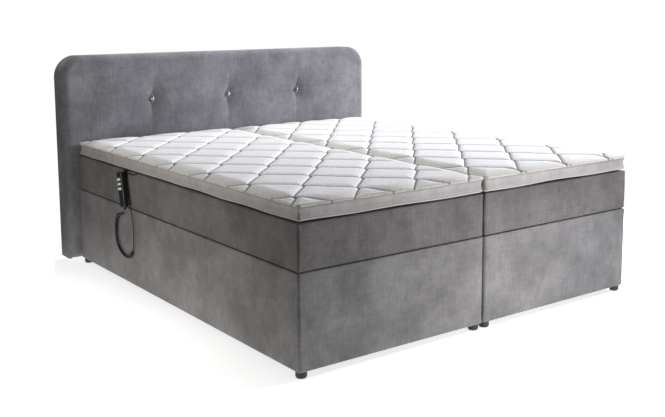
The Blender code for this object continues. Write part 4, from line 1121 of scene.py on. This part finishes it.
def length_of(line):
    """The sum of the distances from each point of a line to the next."""
    return float(np.linalg.norm(np.diff(line, axis=0), axis=1).sum())


def frames_along(line, upright):
    """The direction along a line, and two directions square to it, the first nearest to upright."""
    ahead = np.gradient(line, axis=0)
    ahead /= np.linalg.norm(ahead, axis=1, keepdims=True)
    first = upright - (ahead @ upright)[:, None] * ahead
    first /= np.linalg.norm(first, axis=1, keepdims=True)
    return ahead, first, np.cross(ahead, first)


def tube_net(line, radius, upright, sides):
    """A round tube: a ring square to the line at each of its points, and a small dome at each end."""
    ahead, first, second = frames_along(line, np.array(upright, float))
    dome = np.array([(0.0, 1.0), (0.45, 0.9), (0.85, 0.55)])  # ring size and height, as shares of the radius
    rise = dome[:, 1:] * radius
    centres = np.concatenate([line[0] - ahead[0] * rise, line, line[-1] + ahead[-1] * rise[::-1]])
    sizes = np.concatenate([dome[:, 0], np.ones(len(line)), dome[::-1, 0]]) * radius
    pad = len(dome)
    first = np.concatenate([np.repeat(first[:1], pad, 0), first, np.repeat(first[-1:], pad, 0)])
    second = np.concatenate([np.repeat(second[:1], pad, 0), second, np.repeat(second[-1:], pad, 0)])
    angle = np.linspace(0, 2 * np.pi, sides, endpoint=False)
    spokes = first[:, None] * np.cos(angle)[None, :, None] + second[:, None] * np.sin(angle)[None, :, None]
    return wall_net(centres[:, None] + spokes * sizes[:, None, None])


def curl_line():
    """The curly cord's own line: a helix of even pitch about its route.

    Its radius opens out of a thin lead and closes again as smooth ramps."""
    axis = smooth_line(CURL_ROUTE, CURL_PITCH / 14)
    long = length_of(axis)
    along = np.linspace(0, long, len(axis))
    opening = smoothstep((along - CURL_START) / CURL_OPENING)
    opening = opening * smoothstep((long - 0.004 - along) / 0.010)
    _, first, second = frames_along(axis, np.array([1.0, 0.0, 0.0]))
    turn = 2 * np.pi * np.maximum(along - CURL_START, 0) / CURL_PITCH
    reach = (CURL_OUTER - CORD_DIAMETER / 2) * opening
    return axis + first * (reach * np.cos(turn))[:, None] + second * (reach * np.sin(turn))[:, None]


def make_cord(rubber):
    """One curly lead from the handset's gland and back up to its hook, and the stretch into the seam."""
    line = np.concatenate([curl_line(), smooth_line(RETURN_ROUTE, CORD_DIAMETER)])
    points, quads = tube_net(line, CORD_DIAMETER / 2, (1, 0, 0), 8)
    made = sewn_piece("handset_cord", points, quads, rubber)
    merge_points(made)
    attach(made, "handset_body")
    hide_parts("handset_cord_curl", "handset_cord_return")
    line = smooth_line(UPPER_ROUTE, CORD_DIAMETER / 2)
    points, quads = tube_net(line, CORD_DIAMETER / 2, (0, 0, 1), 12)
    made = sewn_piece("handset_cord_to_seam", points, quads, rubber)
    merge_points(made)
    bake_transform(made)
    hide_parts("handset_cord_upper")


# Finishes of the CAD pieces


def finish_cad_nodes(finishes):
    """Gives each remaining CAD node the finish of its kind, found by a word in its name."""
    for name, node in frame["nodes"].items():
        for words, finish in finishes:
            if any(word in name for word in words):
                node.data.materials.clear()
                node.data.materials.append(finish)
                break


def main():
    """Everything in its order."""
    make_camera()
    make_cord(cord_rubber())
    cloth = velour("grey_velour", BOX_TONE, CLOTH)
    mattress_cloth = velour("grey_velour_mattress", MATTRESS_TONE, CLOTH)
    headboard_cloth = velour("grey_velour_headboard", HEADBOARD_TONE, CLOTH)
    lining = dust_lining()
    glass = cut_glass()
    for side in SIDES:
        make_base_box(side, cloth, lining)
        make_mattress(side, mattress_cloth)
        make_topper(side, ticking(side))
    make_headboard(headboard_cloth)
    for place in ("left", "middle", "right"):
        make_button(f"tuft_button_{place}", glass)
    finish_cad_nodes(
        [
            (("_frame_",), beech()),
            (("shaft", "carriage"), powder_steel()),
            (("key",), key_plastic()),
            (("handset", "holder"), moulded_black("handset_black", (0.007, 0.007, 0.0075), 0.42)),
            (("drive",), moulded_black("drive_black", (0.028, 0.028, 0.030), 0.5)),
            (("glide",), moulded_black("glide_black", (0.020, 0.019, 0.019), 0.45)),
        ]
    )
    make_stage()


main()
